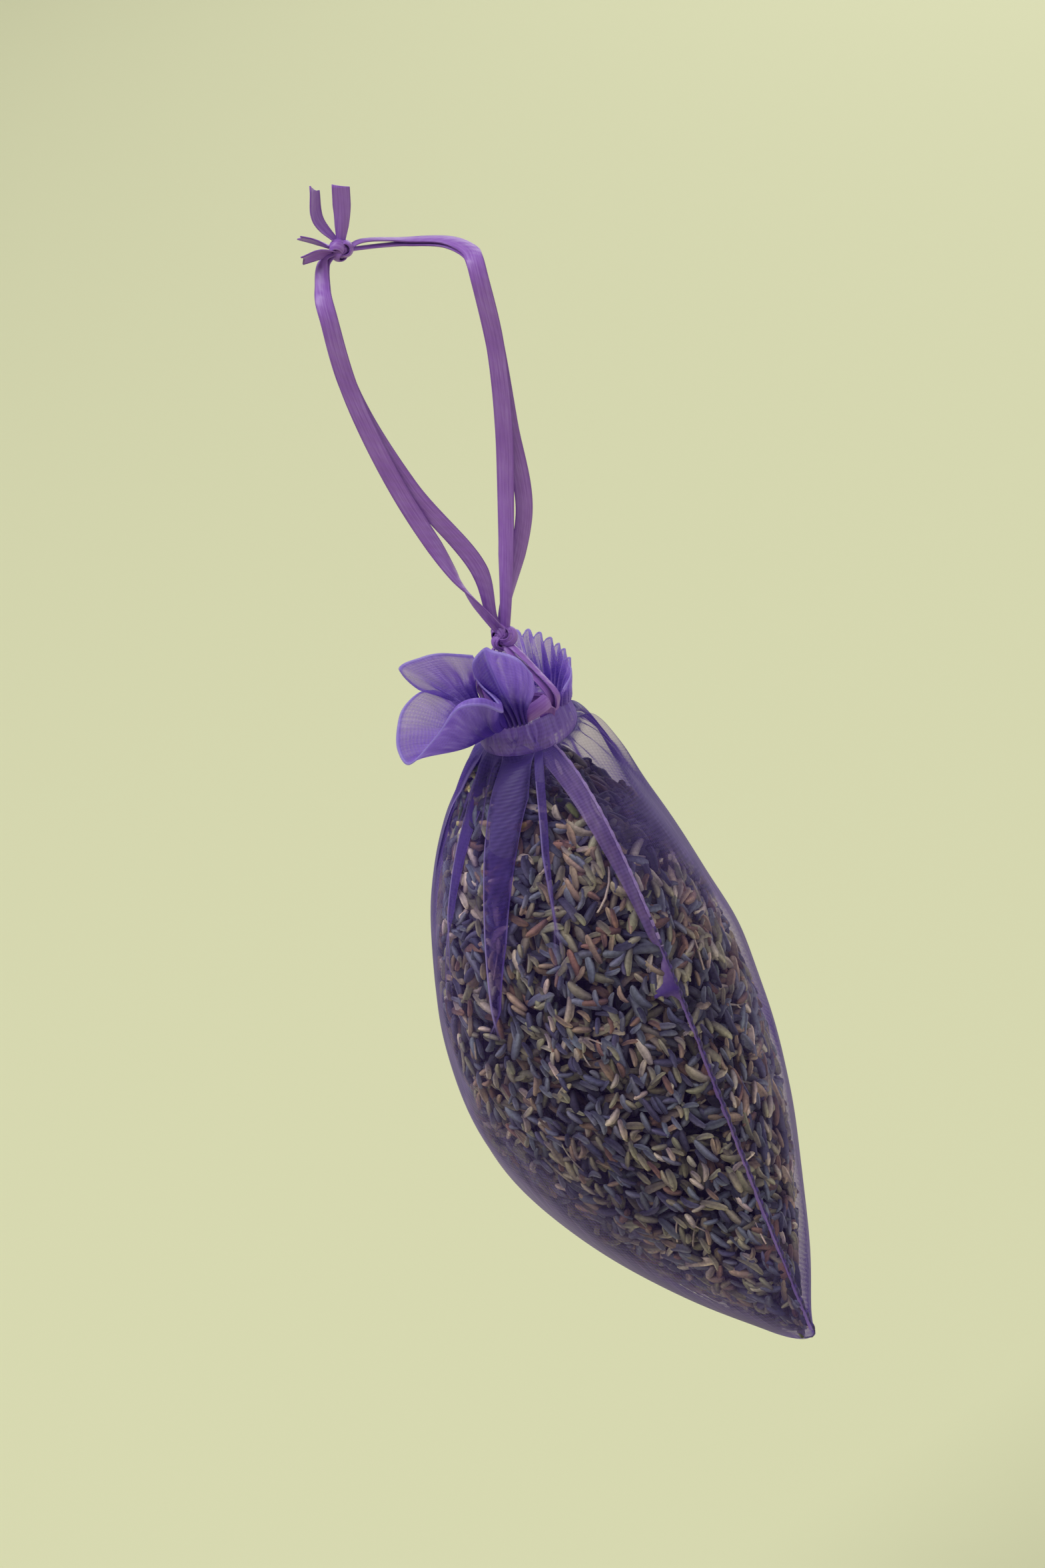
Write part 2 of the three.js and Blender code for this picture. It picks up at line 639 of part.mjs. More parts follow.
const facingFront = new THREE.Vector3(0, -1, 0);
const strandTop = -SHOULDER_FOLD;
for (const [side, order] of [[-1, "front"], [1, "rear"]]) {
  const y = (side * RIBBON_PITCH) / 2;
  const spread = order === "rear" ? STRAND_SPLIT : 0;
  const knotEnd = [1, 2 * y, NECK_KNOT_Z + KNOT_SEAT * 0.95];
  const route = (hand, shoulder, bends) => curveThrough(
    [hand * shoulder, y, strandTop],
    ...bends.map(([out, down, aside]) => [
      hand * out * shoulder + spread * aside,
      y,
      -down * NECK_KNOT_DROP,
    ]),
    [hand * knotEnd[0], knotEnd[1], knotEnd[2]],
  );
  const left = route(-1, LEFT_SHOULDER, LEFT_BENDS);
  const right = route(1, RIGHT_SHOULDER, RIGHT_BENDS);
  addPiece(loop, `left_strand_${order}`, ribbon(left, 24, [facingFront, facingFront], [1, PINCHED]), satin);
  addPiece(loop, `right_strand_${order}`, ribbon(right, 24, [facingFront, facingFront], [1, PINCHED]), satin);
}

// Bights: the ribbons over the shoulders, round the back of the peg and into the top knot

for (const [side, order] of [[1, "upper"], [-1, "lower"]]) {
  const z = (side * RIBBON_PITCH) / 2;
  const start = SHOULDER_FOLD + CLEARANCE;
  const right = curveThrough(
    [RIGHT_SHOULDER, start, z],
    [RIGHT_SHOULDER - 0.4, 5, z + 0.8],
    [8, 0.85 * LOOP_DEPTH, z + 2],
    [1.5, LOOP_DEPTH, z + BIGHT_RISE],
    [TOP_KNOT.x + KNOT_SEAT, TOP_KNOT.y + 1, TOP_KNOT.z + 1.6 * z],
  );
  const left = curveThrough(
    [-LEFT_SHOULDER, start, z],
    [-LEFT_SHOULDER + 0.3, 3.4, z + 1.6],
    [TOP_KNOT.x - KNOT_SEAT, TOP_KNOT.y - 0.6, TOP_KNOT.z - 1 + 1.6 * z],
  );
  addPiece(loop, `right_bight_${order}`, ribbon(right, 20, [facingUp, facingUp], [1, PINCHED]), satin);
  addPiece(loop, `left_bight_${order}`, ribbon(left, 12, [facingUp, facingUp], [1, PINCHED]), satin);
}

// Tails: the four cut ends beyond the top knot

function tail(direction, bend, length, facing) {
  const along = new THREE.Vector3(...direction).normalize();
  const from = along.clone().multiplyScalar(KNOT_SEAT).add(TOP_KNOT);
  const to = along.clone().multiplyScalar(KNOT_SEAT + length).add(TOP_KNOT);
  const middle = from.clone().lerp(to, 0.5).add(new THREE.Vector3(...bend));
  const route = new THREE.CatmullRomCurve3([from, middle, to]);
  return ribbon(route, 8, [facing, facing], [PINCHED, 1]);
}

const facingLeft = new THREE.Vector3(-1, 0, 0);
addPiece(loop, "wide_tail", tail([0.26, -0.05, 1], [0.2, 0, 0], TAIL_LONG, facingFront), satin);
addPiece(loop, "narrow_tail", tail([-0.16, 0.12, 1], [-1.6, 0, 0], TAIL_LONG, facingLeft), satin);
addPiece(loop, "upper_left_tail", tail([-1, 0.2, 0.6], [0, 0, 0.3], TAIL_SHORT, facingUp), satin);
addPiece(loop, "lower_left_tail", tail([-1, -0.4, 0.13], [0, 0, 0.3], TAIL_SHORT, facingUp), satin);

export default sachet;
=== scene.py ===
"""Lavender sachet: a drawn organza pouch of dried lavender that hangs by two satin ribbons.
Sizes are in millimetres and become metres in the meshes. The frame is the CAD model's own."""

import math

import bpy
import numpy as np
from mathutils import Matrix


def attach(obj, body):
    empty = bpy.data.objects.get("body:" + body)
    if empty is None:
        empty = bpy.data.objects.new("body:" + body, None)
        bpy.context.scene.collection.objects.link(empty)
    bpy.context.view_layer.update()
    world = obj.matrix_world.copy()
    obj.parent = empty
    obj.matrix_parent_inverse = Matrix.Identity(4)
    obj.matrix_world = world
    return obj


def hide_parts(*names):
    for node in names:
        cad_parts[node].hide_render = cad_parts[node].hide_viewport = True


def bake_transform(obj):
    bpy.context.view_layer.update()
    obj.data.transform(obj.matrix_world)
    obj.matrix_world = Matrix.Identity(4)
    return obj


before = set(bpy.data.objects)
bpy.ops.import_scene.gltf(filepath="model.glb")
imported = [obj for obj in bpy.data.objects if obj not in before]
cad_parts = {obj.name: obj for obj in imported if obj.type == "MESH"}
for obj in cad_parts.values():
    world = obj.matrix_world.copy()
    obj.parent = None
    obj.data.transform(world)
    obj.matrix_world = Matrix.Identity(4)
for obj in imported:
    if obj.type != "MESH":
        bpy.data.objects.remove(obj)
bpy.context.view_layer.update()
scene = bpy.context.scene


# Camera: looks at the pouch's right side seam and front panel from a little above,
# and leans by fifteen degrees, so that the hanging pouch runs across the picture.

azimuth, elevation, lean = np.radians([63, 24, 15])
towards_camera = np.array([
    math.sin(azimuth) * math.cos(elevation),
    -math.cos(azimuth) * math.cos(elevation),
    math.sin(elevation),
])
level_right = np.array([math.cos(azimuth), math.sin(azimuth), 0])
straight_up = np.cross(towards_camera, level_right)
camera_right = math.cos(lean) * level_right - math.sin(lean) * straight_up
camera_up = math.sin(lean) * level_right + math.cos(lean) * straight_up
CAMERA_AIM = np.array([0.0076855, -0.007683, -0.0892147])
CAMERA_DISTANCE = 0.72


def put(name, data, place, right, up, back):
    """Adds a camera or a lamp at a place in metres, which looks against the back direction."""
    turned = np.eye(4)
    turned[:3, :3] = np.stack([right, up, back], 1)
    turned[:3, 3] = place
    thing = bpy.data.objects.new(name, data)
    thing.matrix_world = Matrix(turned.tolist())
    scene.collection.objects.link(thing)
    return thing


camera_place = CAMERA_AIM + CAMERA_DISTANCE * towards_camera
camera = put("camera", bpy.data.cameras.new("camera"), camera_place, camera_right, camera_up, towards_camera)
camera.data.sensor_fit = "VERTICAL"
camera.data.sensor_height = 36
camera.data.lens = 95.83
scene.camera = camera


# Hanging loop: two narrow ribbons, doubled to four strands, run up from the neck knot, fold over
# at the shoulders and meet again in the top knot behind. They are polyester satin, woven with a
# firm selvedge on both edges, and each strand is one continuous piece of ribbon.

RIBBON_WIDTH, RIBBON_COLUMNS, RIBBON_STEP = 3.0, 15, 0.4
RIBBON_HALF_THICK, SELVEDGE_BEAD = 0.09, 0.05
loop_right = np.array([0.45399, 0.891007, 0])
loop_away = np.array([-0.891007, 0.45399, 0])
plumb = np.array([0, 0, 1.0])


def in_loop(points):
    """Points given as right, away and up in the loop's own plane, in the frame of the object."""
    points = np.asarray(points, float)
    return points[..., :1] * loop_right + points[..., 1:2] * loop_away + points[..., 2:] * plumb


def smooth_line(points, steps=24):
    """Centripetal Catmull-Rom line: cubic stretches through the points, whose speeds at each point
    follow from the square roots of the distances to its neighbours."""
    p = np.asarray(points, float)
    p = np.concatenate([2 * p[:1] - p[1:2], p, 2 * p[-1:] - p[-2:-1]])
    gap = np.sqrt(np.linalg.norm(np.diff(p, axis=0), axis=1))[:, None]
    before, start, end, after = p[:-3], p[1:-2], p[2:-1], p[3:]
    g0, g1, g2 = gap[:-2], gap[1:-1], gap[2:]
    leave = g1 * ((start - before) / g0 - (end - before) / (g0 + g1) + (end - start) / g1)
    arrive = g1 * ((end - start) / g1 - (after - start) / (g1 + g2) + (after - end) / g2)
    t = (np.arange(steps) / steps)[None, :, None]
    line = (
        (2 * t**3 - 3 * t**2 + 1) * start[:, None] + (t**3 - 2 * t**2 + t) * leave[:, None]
        + (3 * t**2 - 2 * t**3) * end[:, None] + (t**3 - t**2) * arrive[:, None]
    )
    return np.concatenate([line.reshape(-1, p.shape[1]), p[-2:-1]])


def spaced(line, step):
    """The same line with its points at equal distances along it, and those distances."""
    run = np.concatenate([[0], np.cumsum(np.linalg.norm(np.diff(line, axis=0), axis=1))])
    at = np.linspace(0, run[-1], max(int(run[-1] / step), 2) + 1)
    return np.stack([np.interp(at, run, column) for column in line.T], 1), at


def unit(vectors):
    """Each vector divided by its own length."""
    return vectors / np.maximum(np.linalg.norm(vectors, axis=-1, keepdims=True), 1e-12)


def grid_faces(numbers):
    """Four-cornered faces between neighbouring rows and columns of an array of point numbers."""
    corners = [numbers[:-1, :-1], numbers[:-1, 1:], numbers[1:, 1:], numbers[1:, :-1]]
    return np.stack(corners, -1).reshape(-1, 4)


def numbered(points):
    """Point numbers of a grid of points, row by row."""
    return np.arange(points.shape[0] * points.shape[1]).reshape(points.shape[:2])


def marks_of(across, along, layers):
    """Marks of a cloth's points: how far across and along the cloth they lie, and in how many layers."""
    return np.stack(np.broadcast_arrays(across, along, layers), -1)


def two_sided(middle, normal, half_thick, marks):
    """Mesh of a cloth from its middle surface and the half thickness on both sides of it. Its faces are
    the front grid, the back grid turned over, and the rim between them."""
    front = numbered(middle)
    rim = np.concatenate([front[0], front[1:, -1], front[-1, -2::-1], front[-2:0:-1, 0]])
    ahead, back = np.roll(rim, -1), front.size
    side = np.stack([ahead, rim, rim + back, ahead + back], -1)
    faces = np.concatenate([grid_faces(front), grid_faces(front)[:, ::-1] + back, side])
    points = np.stack([middle - normal * half_thick, middle + normal * half_thick])
    return points.reshape(-1, 3), faces, np.stack([marks, marks]).reshape(-1, 3)


def piece_of(name, mesh, finish, slot=None, body=None, nodes=(), **attributes):
    """A smooth piece from a mesh of points in millimetres, four-cornered faces and, for cloth, marks.
    Marks and attributes are values per point. The piece stands for the CAD nodes, which it hides, and goes
    on their body. The slot is not used."""
    points, faces = mesh[0].reshape(-1, 3), mesh[1]
    if len(mesh) == 3:
        attributes = {"cloth_mm": mesh[2], **attributes}
    shape = bpy.data.meshes.new(name)
    shape.vertices.add(len(points))
    shape.vertices.foreach_set("co", (points / 1000).astype(np.float32).ravel())
    shape.loops.add(faces.size)
    shape.loops.foreach_set("vertex_index", faces.astype(np.int32).ravel())
    shape.polygons.add(len(faces))
    shape.polygons.foreach_set("loop_start", np.arange(0, faces.size, 4, dtype=np.int32))
    for label, values in attributes.items():
        kind, field = ("FLOAT_VECTOR", "vector") if values.shape[-1] == 3 else ("FLOAT_COLOR", "color")
        layer = shape.attributes.new(label, kind, "POINT")
        layer.data.foreach_set(field, values.astype(np.float32).ravel())
    shape.update(calc_edges=True)
    shape.shade_smooth()
    shape.materials.append(finish)
    piece = bpy.data.objects.new(name, shape)
    scene.collection.objects.link(piece)
    if nodes:
        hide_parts(*nodes)
    if body:
        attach(piece, body)
    return piece


def linear(colour):
    """An sRGB hex colour as linear light, opaque."""
    parts = np.array([int(colour[k:k + 2], 16) for k in (1, 3, 5)]) / 255
    light = np.where(parts <= 0.04045, parts / 12.92, ((parts + 0.055) / 1.055) ** 2.4)
    return (*light.tolist(), 1.0)


def new_material(name):
    """A material with an empty node tree, and the function that adds nodes to it."""
    material = bpy.data.materials.new(name)
    material.use_nodes = True
    tree = material.node_tree
    tree.nodes.clear()

    def add_node(kind, inputs=None, **settings):
        """Adds a shader node, sets its properties, and sets or links its inputs. A linked input is a
        socket, or a node whose first output is meant."""
        node = tree.nodes.new("ShaderNode" + kind)
        for label, value in settings.items():
            setattr(node, label, value)
        for key, value in (inputs or {}).items():
            if isinstance(value, bpy.types.Node):
                value = value.outputs[0]
            if isinstance(value, bpy.types.NodeSocket):
                tree.links.new(value, node.inputs[key])
            else:
                node.inputs[key].default_value = value
        return node

    return material, add_node


def blended_stops(ramp, stops):
    """Sets a colour ramp's stops from pairs of position and hex colour, in rising order."""
    ramp.elements[0].position, ramp.elements[0].color = stops[0][0], linear(stops[0][1])
    ramp.elements[1].position, ramp.elements[1].color = stops[-1][0], linear(stops[-1][1])
    for place, colour in stops[1:-1]:
        ramp.elements.new(place).color = linear(colour)


# Satin ribbon, polyester, woven with long floats: soft streaks, 0.2 mm wide and 8 mm long, run along it, a
# fine twill line slants across it, and the selvedge is a little darker. The lines, really 0.2 mm apart, are
# drawn 1.4 mm apart to show. A wave texture of scale 1 has its bands, or its slanting bands, this far apart.
BAND_SPACING, SLANT_SPACING = math.pi / 10, math.pi / 5 / math.sqrt(2)
TWILL_SPACING = 1.415
satin, add_node = new_material("satin_ribbon")
cloth = add_node("Attribute", attribute_name="cloth_mm").outputs["Vector"]
streaked = add_node("Mapping", {"Vector": cloth, "Scale": (4.5, 0.12, 1)})
streaks = add_node("TexNoise", {"Vector": streaked, "Scale": 1.0, "Detail": 3.0, "Roughness": 0.6})
cloud = add_node("TexNoise", {"Vector": cloth, "Scale": 0.16, "Detail": 1.0})
mixed = add_node("Math", {0: cloud, 1: 0.45, 2: streaks}, operation="MULTIPLY_ADD")
tone = add_node("ValToRGB", {0: mixed})
blended_stops(tone.color_ramp, [(0.35, "#7b45a8"), (0.7, "#9362bd"), (1.0, "#a87fd0")])
across = add_node("SeparateXYZ", {0: cloth})
from_middle = add_node("Math", {0: across}, operation="ABSOLUTE")
selvedge = add_node("MapRange", {0: from_middle, 1: 1.2, 2: 1.45, 3: 0.0, 4: 0.5})
edged = add_node("Mix", {0: selvedge, 6: tone, 7: linear("#6a2f97")}, data_type="RGBA").outputs[2]
twill = add_node(
    "TexWave", {"Vector": cloth, "Scale": SLANT_SPACING / TWILL_SPACING, "Distortion": 0.6, "Detail": 1.0},
    bands_direction="DIAGONAL",
).outputs["Fac"]
height = add_node("Math", {0: streaks, 1: 0.5, 2: twill}, operation="MULTIPLY_ADD")
relief = add_node("Bump", {"Strength": 0.3, "Distance": 0.00012, "Height": height})
gloss = add_node("MapRange", {0: streaks, 1: 0.3, 2: 0.7, 3: 0.34, 4: 0.5})
surface = add_node("BsdfPrincipled", {
    "Base Color": edged, "Roughness": gloss, "Normal": relief, "IOR": 1.5,
    "Sheen Weight": 0.35, "Sheen Roughness": 0.35, "Sheen Tint": linear("#d9c2f2"),
})
add_node("OutputMaterial", {"Surface": surface})


def ribbon_strip(
    route, facings, cupped=(0.25, 0.25), width=(1, 1), turned=(0, 0), cut=(0, 0), step=RIBBON_STEP
):
    """A ribbon along a route. At each point the facing, less its share along the route, gives the
    face, and the face turned about the route gives the edge direction. The section is an arc of the
    ribbon's width, bent by the cupping angle, with a thicker bead at both selvedges. Cupping, width
    share and turn in degrees are spread evenly along the route, and cut slants or notches the far end."""
    line, run = spaced(smooth_line(route), step)
    share = run / run[-1]
    along = unit(np.gradient(line, axis=0))
    keys = np.linspace(0, 1, len(facings))
    face = np.stack([np.interp(share, keys, column) for column in np.asarray(facings, float).T], 1)
    face = unit(face - (face * along).sum(1, keepdims=True) * along)
    spread = lambda values: np.interp(share, np.linspace(0, 1, len(values)), values)[:, None]
    turn = np.radians(spread(turned))
    face = face * np.cos(turn) + np.cross(along, face) * np.sin(turn)
    edge = np.cross(along, face)
    w = np.linspace(-1, 1, RIBBON_COLUMNS)[None, :]
    half = RIBBON_WIDTH / 2 * spread(width)
    bend = np.maximum(spread(cupped), 1e-3)
    sideways = half * np.sin(bend * w) / bend
    inward = half * (1 - np.cos(bend * w)) / bend
    slant, notch = cut
    reach = (share[:, None] > 0.999) * (slant * w - notch * (1 - np.abs(w)))
    middle = (
        line[:, None] + edge[:, None] * sideways[..., None]
        - face[:, None] * inward[..., None] + along[:, None] * reach[..., None]
    )
    normal = unit(face[:, None] * np.cos(bend * w)[..., None] + edge[:, None] * np.sin(bend * w)[..., None])
    thick = RIBBON_HALF_THICK + SELVEDGE_BEAD * np.clip((np.abs(w) - 0.8) / 0.2, 0, 1)
    return two_sided(middle, normal, thick[..., None], marks_of(half * w, run[:, None], 0.0))


NECK_KNOT = np.array([0, 0, -66.0])
TOP_KNOT = in_loop([-9.6, 7, 6])
front_face = -loop_away
strands = []
for order, bight, y, spread, z in (
    ("front", "upper", -0.35, 0.0, 0.35), ("rear", "lower", 0.35, 4.0, -0.35),
):
    left = in_loop([
        (-0.3, y, -64.5), (-0.9, 2 * y - 0.4, -62.7), (-5 + spread, y - 0.5, -53),
        (-10.8 + 0.45 * spread, y, -35), (-14.2, y, -16), (-14.5, y, -2.5), (-14.5, 1.2, z),
        (-14.2, 3.4, z + 1.6), (-12.85, 6.4, 5 + 1.6 * z), (-10.4, 7, 6),
    ])
    right = in_loop([
        (0.4, y, -65), (1, 2 * y + 0.4, -62.9), (5.6 + 0.85 * spread, y + 0.3, -45),
        (9.2 + 0.25 * spread, y, -29), (11.3, y, -14), (11.5, y, -2.5), (11.5, 1.2, z), (11.1, 5, z + 0.8),
        (8, 9.775, z + 2), (1.5, 11.5, z + 3.4), (-6.35, 8, 6 + 1.6 * z), (-8.8, 7, 6),
    ])
    left_turn, right_turn = np.zeros(13), np.zeros(13)
    left_turn[:5] = (180, 130, 66, 24, 8) if order == "front" else (10, 12, 8, -6, -10)
    right_turn[:6] = (-20, -30, -34, -26, -14, -4) if order == "front" else (24, 20, 14, 8, 4, 0)
    for hand, route, facings, turned, length in (
        ("left", left, [front_face] * 8 + [plumb] * 2, left_turn, 0.078),
        ("right", right, [front_face] * 6 + [plumb] * 3, right_turn, 0.096),
    ):
        strip = ribbon_strip(
            route, facings, cupped=(1.1, 0.5, 0.3, 0.2, 0.3, 0.35, 0.4, 1.0),
            width=(0.6, 1, 1, 1, 1, 1, 1, 0.6), turned=turned,
        )
        strand = piece_of(
            f"{hand}_ribbon_{order}", strip, satin, "satin_ribbon",
            nodes=(f"{hand}_strand_{order}", f"{hand}_bight_{bight}"),
        )
        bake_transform(strand)
        strands.append((strand, spaced(smooth_line(route), RIBBON_STEP)[0] / 1000, length))


# Top knot and tails: the four ribbon ends are tied in one overhand knot, whose turns lie as folded,
# cupped ribbon. Past it the ends are cut off: two stand up, one square and one on a slant, and two
# short ones point left, notched so that they don't fray.


def joined(parts):
    """Several meshes as one: points and marks in a row, face numbers moved along."""
    starts = np.cumsum([0] + [len(points) for points, _, _ in parts[:-1]])
    return (
        np.concatenate([points for points, _, _ in parts]),
        np.concatenate([faces + start for (_, faces, _), start in zip(parts, starts)]),
        np.concatenate([marks for _, _, marks in parts]),
    )


def tilted(x_turn, z_turn):
    """A turn about the X axis followed by one about the Z axis, in degrees."""
    a, b = np.radians([x_turn, z_turn])
    about_x = np.array([[1, 0, 0], [0, np.cos(a), -np.sin(a)], [0, np.sin(a), np.cos(a)]])
    about_z = np.array([[np.cos(b), -np.sin(b), 0], [np.sin(b), np.cos(b), 0], [0, 0, 1]])
    return about_z @ about_x


def knot_turns(centre, ring, bands, tilt):
    """An overhand knot as ribbon on a torus knot: the path winds twice round the ring and three times
    through it. Each band has its own size, start, cupping and width, and faces away from the middle."""
    parts = []
    for size, start, cupping, width in bands:
        u = np.linspace(0, 4 * np.pi, 121) + start
        swell = 0.5 * ring * size * (2 + np.cos(1.5 * u))
        path = np.stack([swell * np.cos(u), 0.5 * ring * size * np.sin(1.5 * u), swell * np.sin(u)], 1)
        path = path @ tilt.T
        facings = unit(path) + 0.2 * np.roll(unit(path), 7, axis=0)
        widths = (width, width * 0.85, width)
        parts.append(ribbon_strip(path + centre, facings, cupped=cupping, width=widths, step=0.3))
    return joined(parts)


top_turns = knot_turns(TOP_KNOT, 1.4, [
    (1.0, 0.0, (0.8, 1.1, 0.8), 0.95), (0.62, 0.9, (1.0, 0.8, 1.0), 0.95), (0.3, 2.0, (0.9, 1.1, 0.9), 0.9),
], tilted(20, 63))
top_knot = piece_of("top_knot_turns", top_turns, satin, "satin_ribbon", "loop_top", ["top_knot"])

TAIL_START, TAIL_HIDDEN = 0.8, 3.1
for name, direction, bend, length, face, turned, cut in (
    ("wide_tail", (0.26, -0.05, 1), (0.2, 0, 0), 8, front_face, (0, -8, 4), (-0.3, 0)),
    ("narrow_tail", (-0.16, 0.12, 1), (-1.6, 0, 0), 8, -loop_right, (-30, -42, -30), (0.8, 0)),
    ("upper_left_tail", (-1, 0.2, 0.6), (0, 0, 0.3), 4.2, plumb, (25, 35, 30), (0.3, 0.9)),
    ("lower_left_tail", (-1, -0.4, 0.13), (0, 0, 0.3), 4.2, plumb, (35, 50, 40), (-0.5, 0.6)),
):
    along = unit(in_loop(direction))
    start, end = TOP_KNOT + TAIL_START * along, TOP_KNOT + (TAIL_HIDDEN + length) * along
    route = [start, (start + end) / 2 + in_loop(bend), end]
    strip = ribbon_strip(
        route, [face, face], cupped=(1.2, 0.6, 0.35, 0.3), width=(0.45, 0.8, 1, 1), turned=turned, cut=cut,
    )
    piece_of(f"{name}_ribbon", strip, satin, "satin_ribbon", "loop_top", [name])


# Neck knot: all four strands and the four ribbon ends from the pouch go through one overhand knot,
# pulled small and tight, so its turns are bunched ribbon with bright crests.

neck_turns = knot_turns(NECK_KNOT, 1.5, [
    (1.0, 0.0, (0.8, 1.1, 0.8), 1.1), (0.65, 1.1, (1.0, 0.8, 1.0), 1.1),
    (0.3, 2.0, (0.9, 1.1, 0.9), 1.0), (1.15, 2.3, (1.0, 1.2, 0.9), 0.7),
], tilted(-12, 40))
neck_knot = piece_of("neck_knot_turns", neck_turns, satin, "satin_ribbon", "neck_tie", ["neck_knot"])


# Drawstrings: each ribbon goes round the neck inside the casings, and both its ends come out of the
# slit at one side seam and rise to the neck knot. On the right one bight stands out as a soft fold.

CASING_TOP, CASING_MIDDLE = -79.5, -82.0
for hand, name in ((1, "right"), (-1, "left")):
    for order, y, out, lift in (("front", -0.9, 8.7, 0.0), ("rear", 0.9, 9.4, 0.7)):
        route = np.array([
            (0.3, 0.3 * y, -66.8),
            (1.95 + lift, 0.5 * y + 0.3, -68.4 + lift / 2),
            (5.2 + lift / 2, 0.5 * y + 1.6, -72.2 + lift / 2),
            (out - 0.4, 0.5 * y + 2.5, -76.2),
            (out - 2.0, 0.4 * y + 2.6, CASING_TOP),
            (out - 2.9, 0.4 * y + 2.4, CASING_MIDDLE - 0.5),
        ]) * (hand, hand, 1)
        outward = np.array([hand, 0, 0.0])
        strip = ribbon_strip(
            route, [plumb, unit(outward + plumb), unit(outward + plumb), outward, outward],
            cupped=(1.2, 0.9, 0.8, 0.7, 0.4), width=(0.5, 0.75, 0.85, 0.9, 1),
            turned=(0, -34 - 6 * y, -46 - 8 * y, -38 - 8 * y, -10), step=0.3,
        )
        node = f"{name}_riser_{order}"
        piece_of(f"{name}_end_{order}", strip, satin, "satin_ribbon", "pouch", [node])

for name, radius, open_at in (("right_drawstring", 6.6, 0.0), ("left_drawstring", 7.3, np.pi)):
    angle = open_at + np.linspace(0.15, 2 * np.pi - 0.15, 90)
    ripple = radius + 0.12 * np.sin(9 * angle)
    path = np.stack([ripple * np.cos(angle), ripple * np.sin(angle), np.full_like(angle, CASING_MIDDLE)], 1)
    strip = ribbon_strip(path, unit(path * (1, 1, 0)), cupped=(0.3, 0.3), step=0.5)
    piece_of(f"{name}_ribbon", strip, satin, "satin_ribbon", "pouch", [name])

fold_route = [
    (6.4, -4.0, -78.4), (8.6, -2.9, -77.2), (10.0, -1.2, -76.2),
    (10.0, 0.2, -75.9), (9.0, 0.5, -76.7), (7.4, 0.4, -80.0),
]
fold_facings = [
    (0.85, -0.45, 0.5), (0.85, -0.4, 0.5), (0.8, -0.1, 0.5),
    (0.4, 0.8, 0.3), (-0.6, 0.5, 0.2), (-0.8, 0.2, 0.2),
]
strip = ribbon_strip(
    fold_route, fold_facings, cupped=(0.3, 0.5, 0.6, 0.4), width=(0.8, 0.9, 0.9, 0.9), step=0.2
)
piece_of("drawstring_fold", strip, satin, "satin_ribbon", "pouch")

for strand, line, length in strands:
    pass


# Lavender: some thousands of dried calyxes, 4 to 6 mm long, ribbed and tapered, fill the lower pouch.
# They are poured in loose, so they lie flat against the cloth, crisscross, and heap up on one side.

PANEL_TOP = -85.0
SEAM_CURVE = np.array([(8.2, PANEL_TOP), (28, -92.95), (32.5, -149), (47, -191)])
FRONT_CROWN = np.array([(8.2, PANEL_TOP), (30, -110), (43, -162), (0, -199)])
BACK_CROWN = np.array([(8.2, PANEL_TOP), (20, -95), (51, -185), (0, -199)])


def bezier(corners, t):
    """Cubic Bezier: the corners weighted by (1-t)^3, 3t(1-t)^2, 3t^2(1-t) and t^3."""
    t = np.asarray(t, float)[..., None]
    return (
        (1 - t) ** 3 * corners[..., 0, :] + 3 * t * (1 - t) ** 2 * corners[..., 1, :]
        + 3 * t**2 * (1 - t) * corners[..., 2, :] + t**3 * corners[..., 3, :]
    )


def crown_line(side, v):
    """How far out and how high the middle line of a panel lies: one Bezier for the front panel and one for
    the back, on side 1, which hangs straighter from the neck and sags more towards the bottom."""
    line = np.where(np.asarray(side)[..., None] > 0, bezier(BACK_CROWN, v), bezier(FRONT_CROWN, v))
    return line[..., 0], line[..., 1]


def pouch_wall(side, angle, v, gap=0.06):
    """One half of the filled pouch. At each height the seam line gives the half width and the crown
    line the half depth of an ellipse, and the height runs from the seam's to the crown's by the sine
    of the angle. The angle is 0 at the right seam and 180 degrees at the left, the side -1 in front."""
    seam = bezier(SEAM_CURVE, v)
    out, height = crown_line(side, v)
    bow = np.sin(angle)
    level = seam[..., 1] + (height - seam[..., 1]) * bow
    return np.stack([seam[..., 0] * np.cos(angle), side * (gap + out * bow), level], -1)


def wall_all_round(angle, v):
    """The pouch's wall at angles from 0 to 360 degrees, the front half first."""
    side = np.where(angle < np.pi, -1.0, 1.0)
    return pouch_wall(side, np.where(side < 0, angle, 2 * np.pi - angle), v)


def wall_normal(side, angle, v):
    """Outward direction of the pouch's wall, from the slopes along and across it, and its local area."""
    step = 1e-3
    across = pouch_wall(side, angle + step, v) - pouch_wall(side, angle - step, v)
    down = pouch_wall(side, angle, v + step) - pouch_wall(side, angle, v - step)
    normal = np.cross(across, down) * -np.asarray(side)[..., None]
    return unit(normal), np.linalg.norm(normal, axis=-1) / (4 * step**2)


HEAP_LEVEL, HEAP_SLOPE = -90.5, 1.0


def heap_top(points):
    """How far points lie above the sloping top of the heap, which falls towards the loop's right."""
    return points[..., 2] - HEAP_LEVEL + HEAP_SLOPE * (points @ loop_right)


def share_of_wall(points):
    """How far out points lie, as a share of the way to the pouch's wall at their height. The height's place
    along the wall is found by halving the stretch it lies in."""
    low, high = np.zeros(len(points)), np.ones(len(points))
    for _ in range(20):
        v = (low + high) / 2
        seam = bezier(SEAM_CURVE, v)
        out, height = crown_line(points[:, 1], v)
        level = seam[:, 1] + (height - seam[:, 1]) * np.clip(np.abs(points[:, 1]) / out, 0, 1)
        low, high = np.where(level > points[:, 2], v, low), np.where(level > points[:, 2], high, v)
    return np.hypot(points[:, 0] / seam[:, 0], points[:, 1] / out)


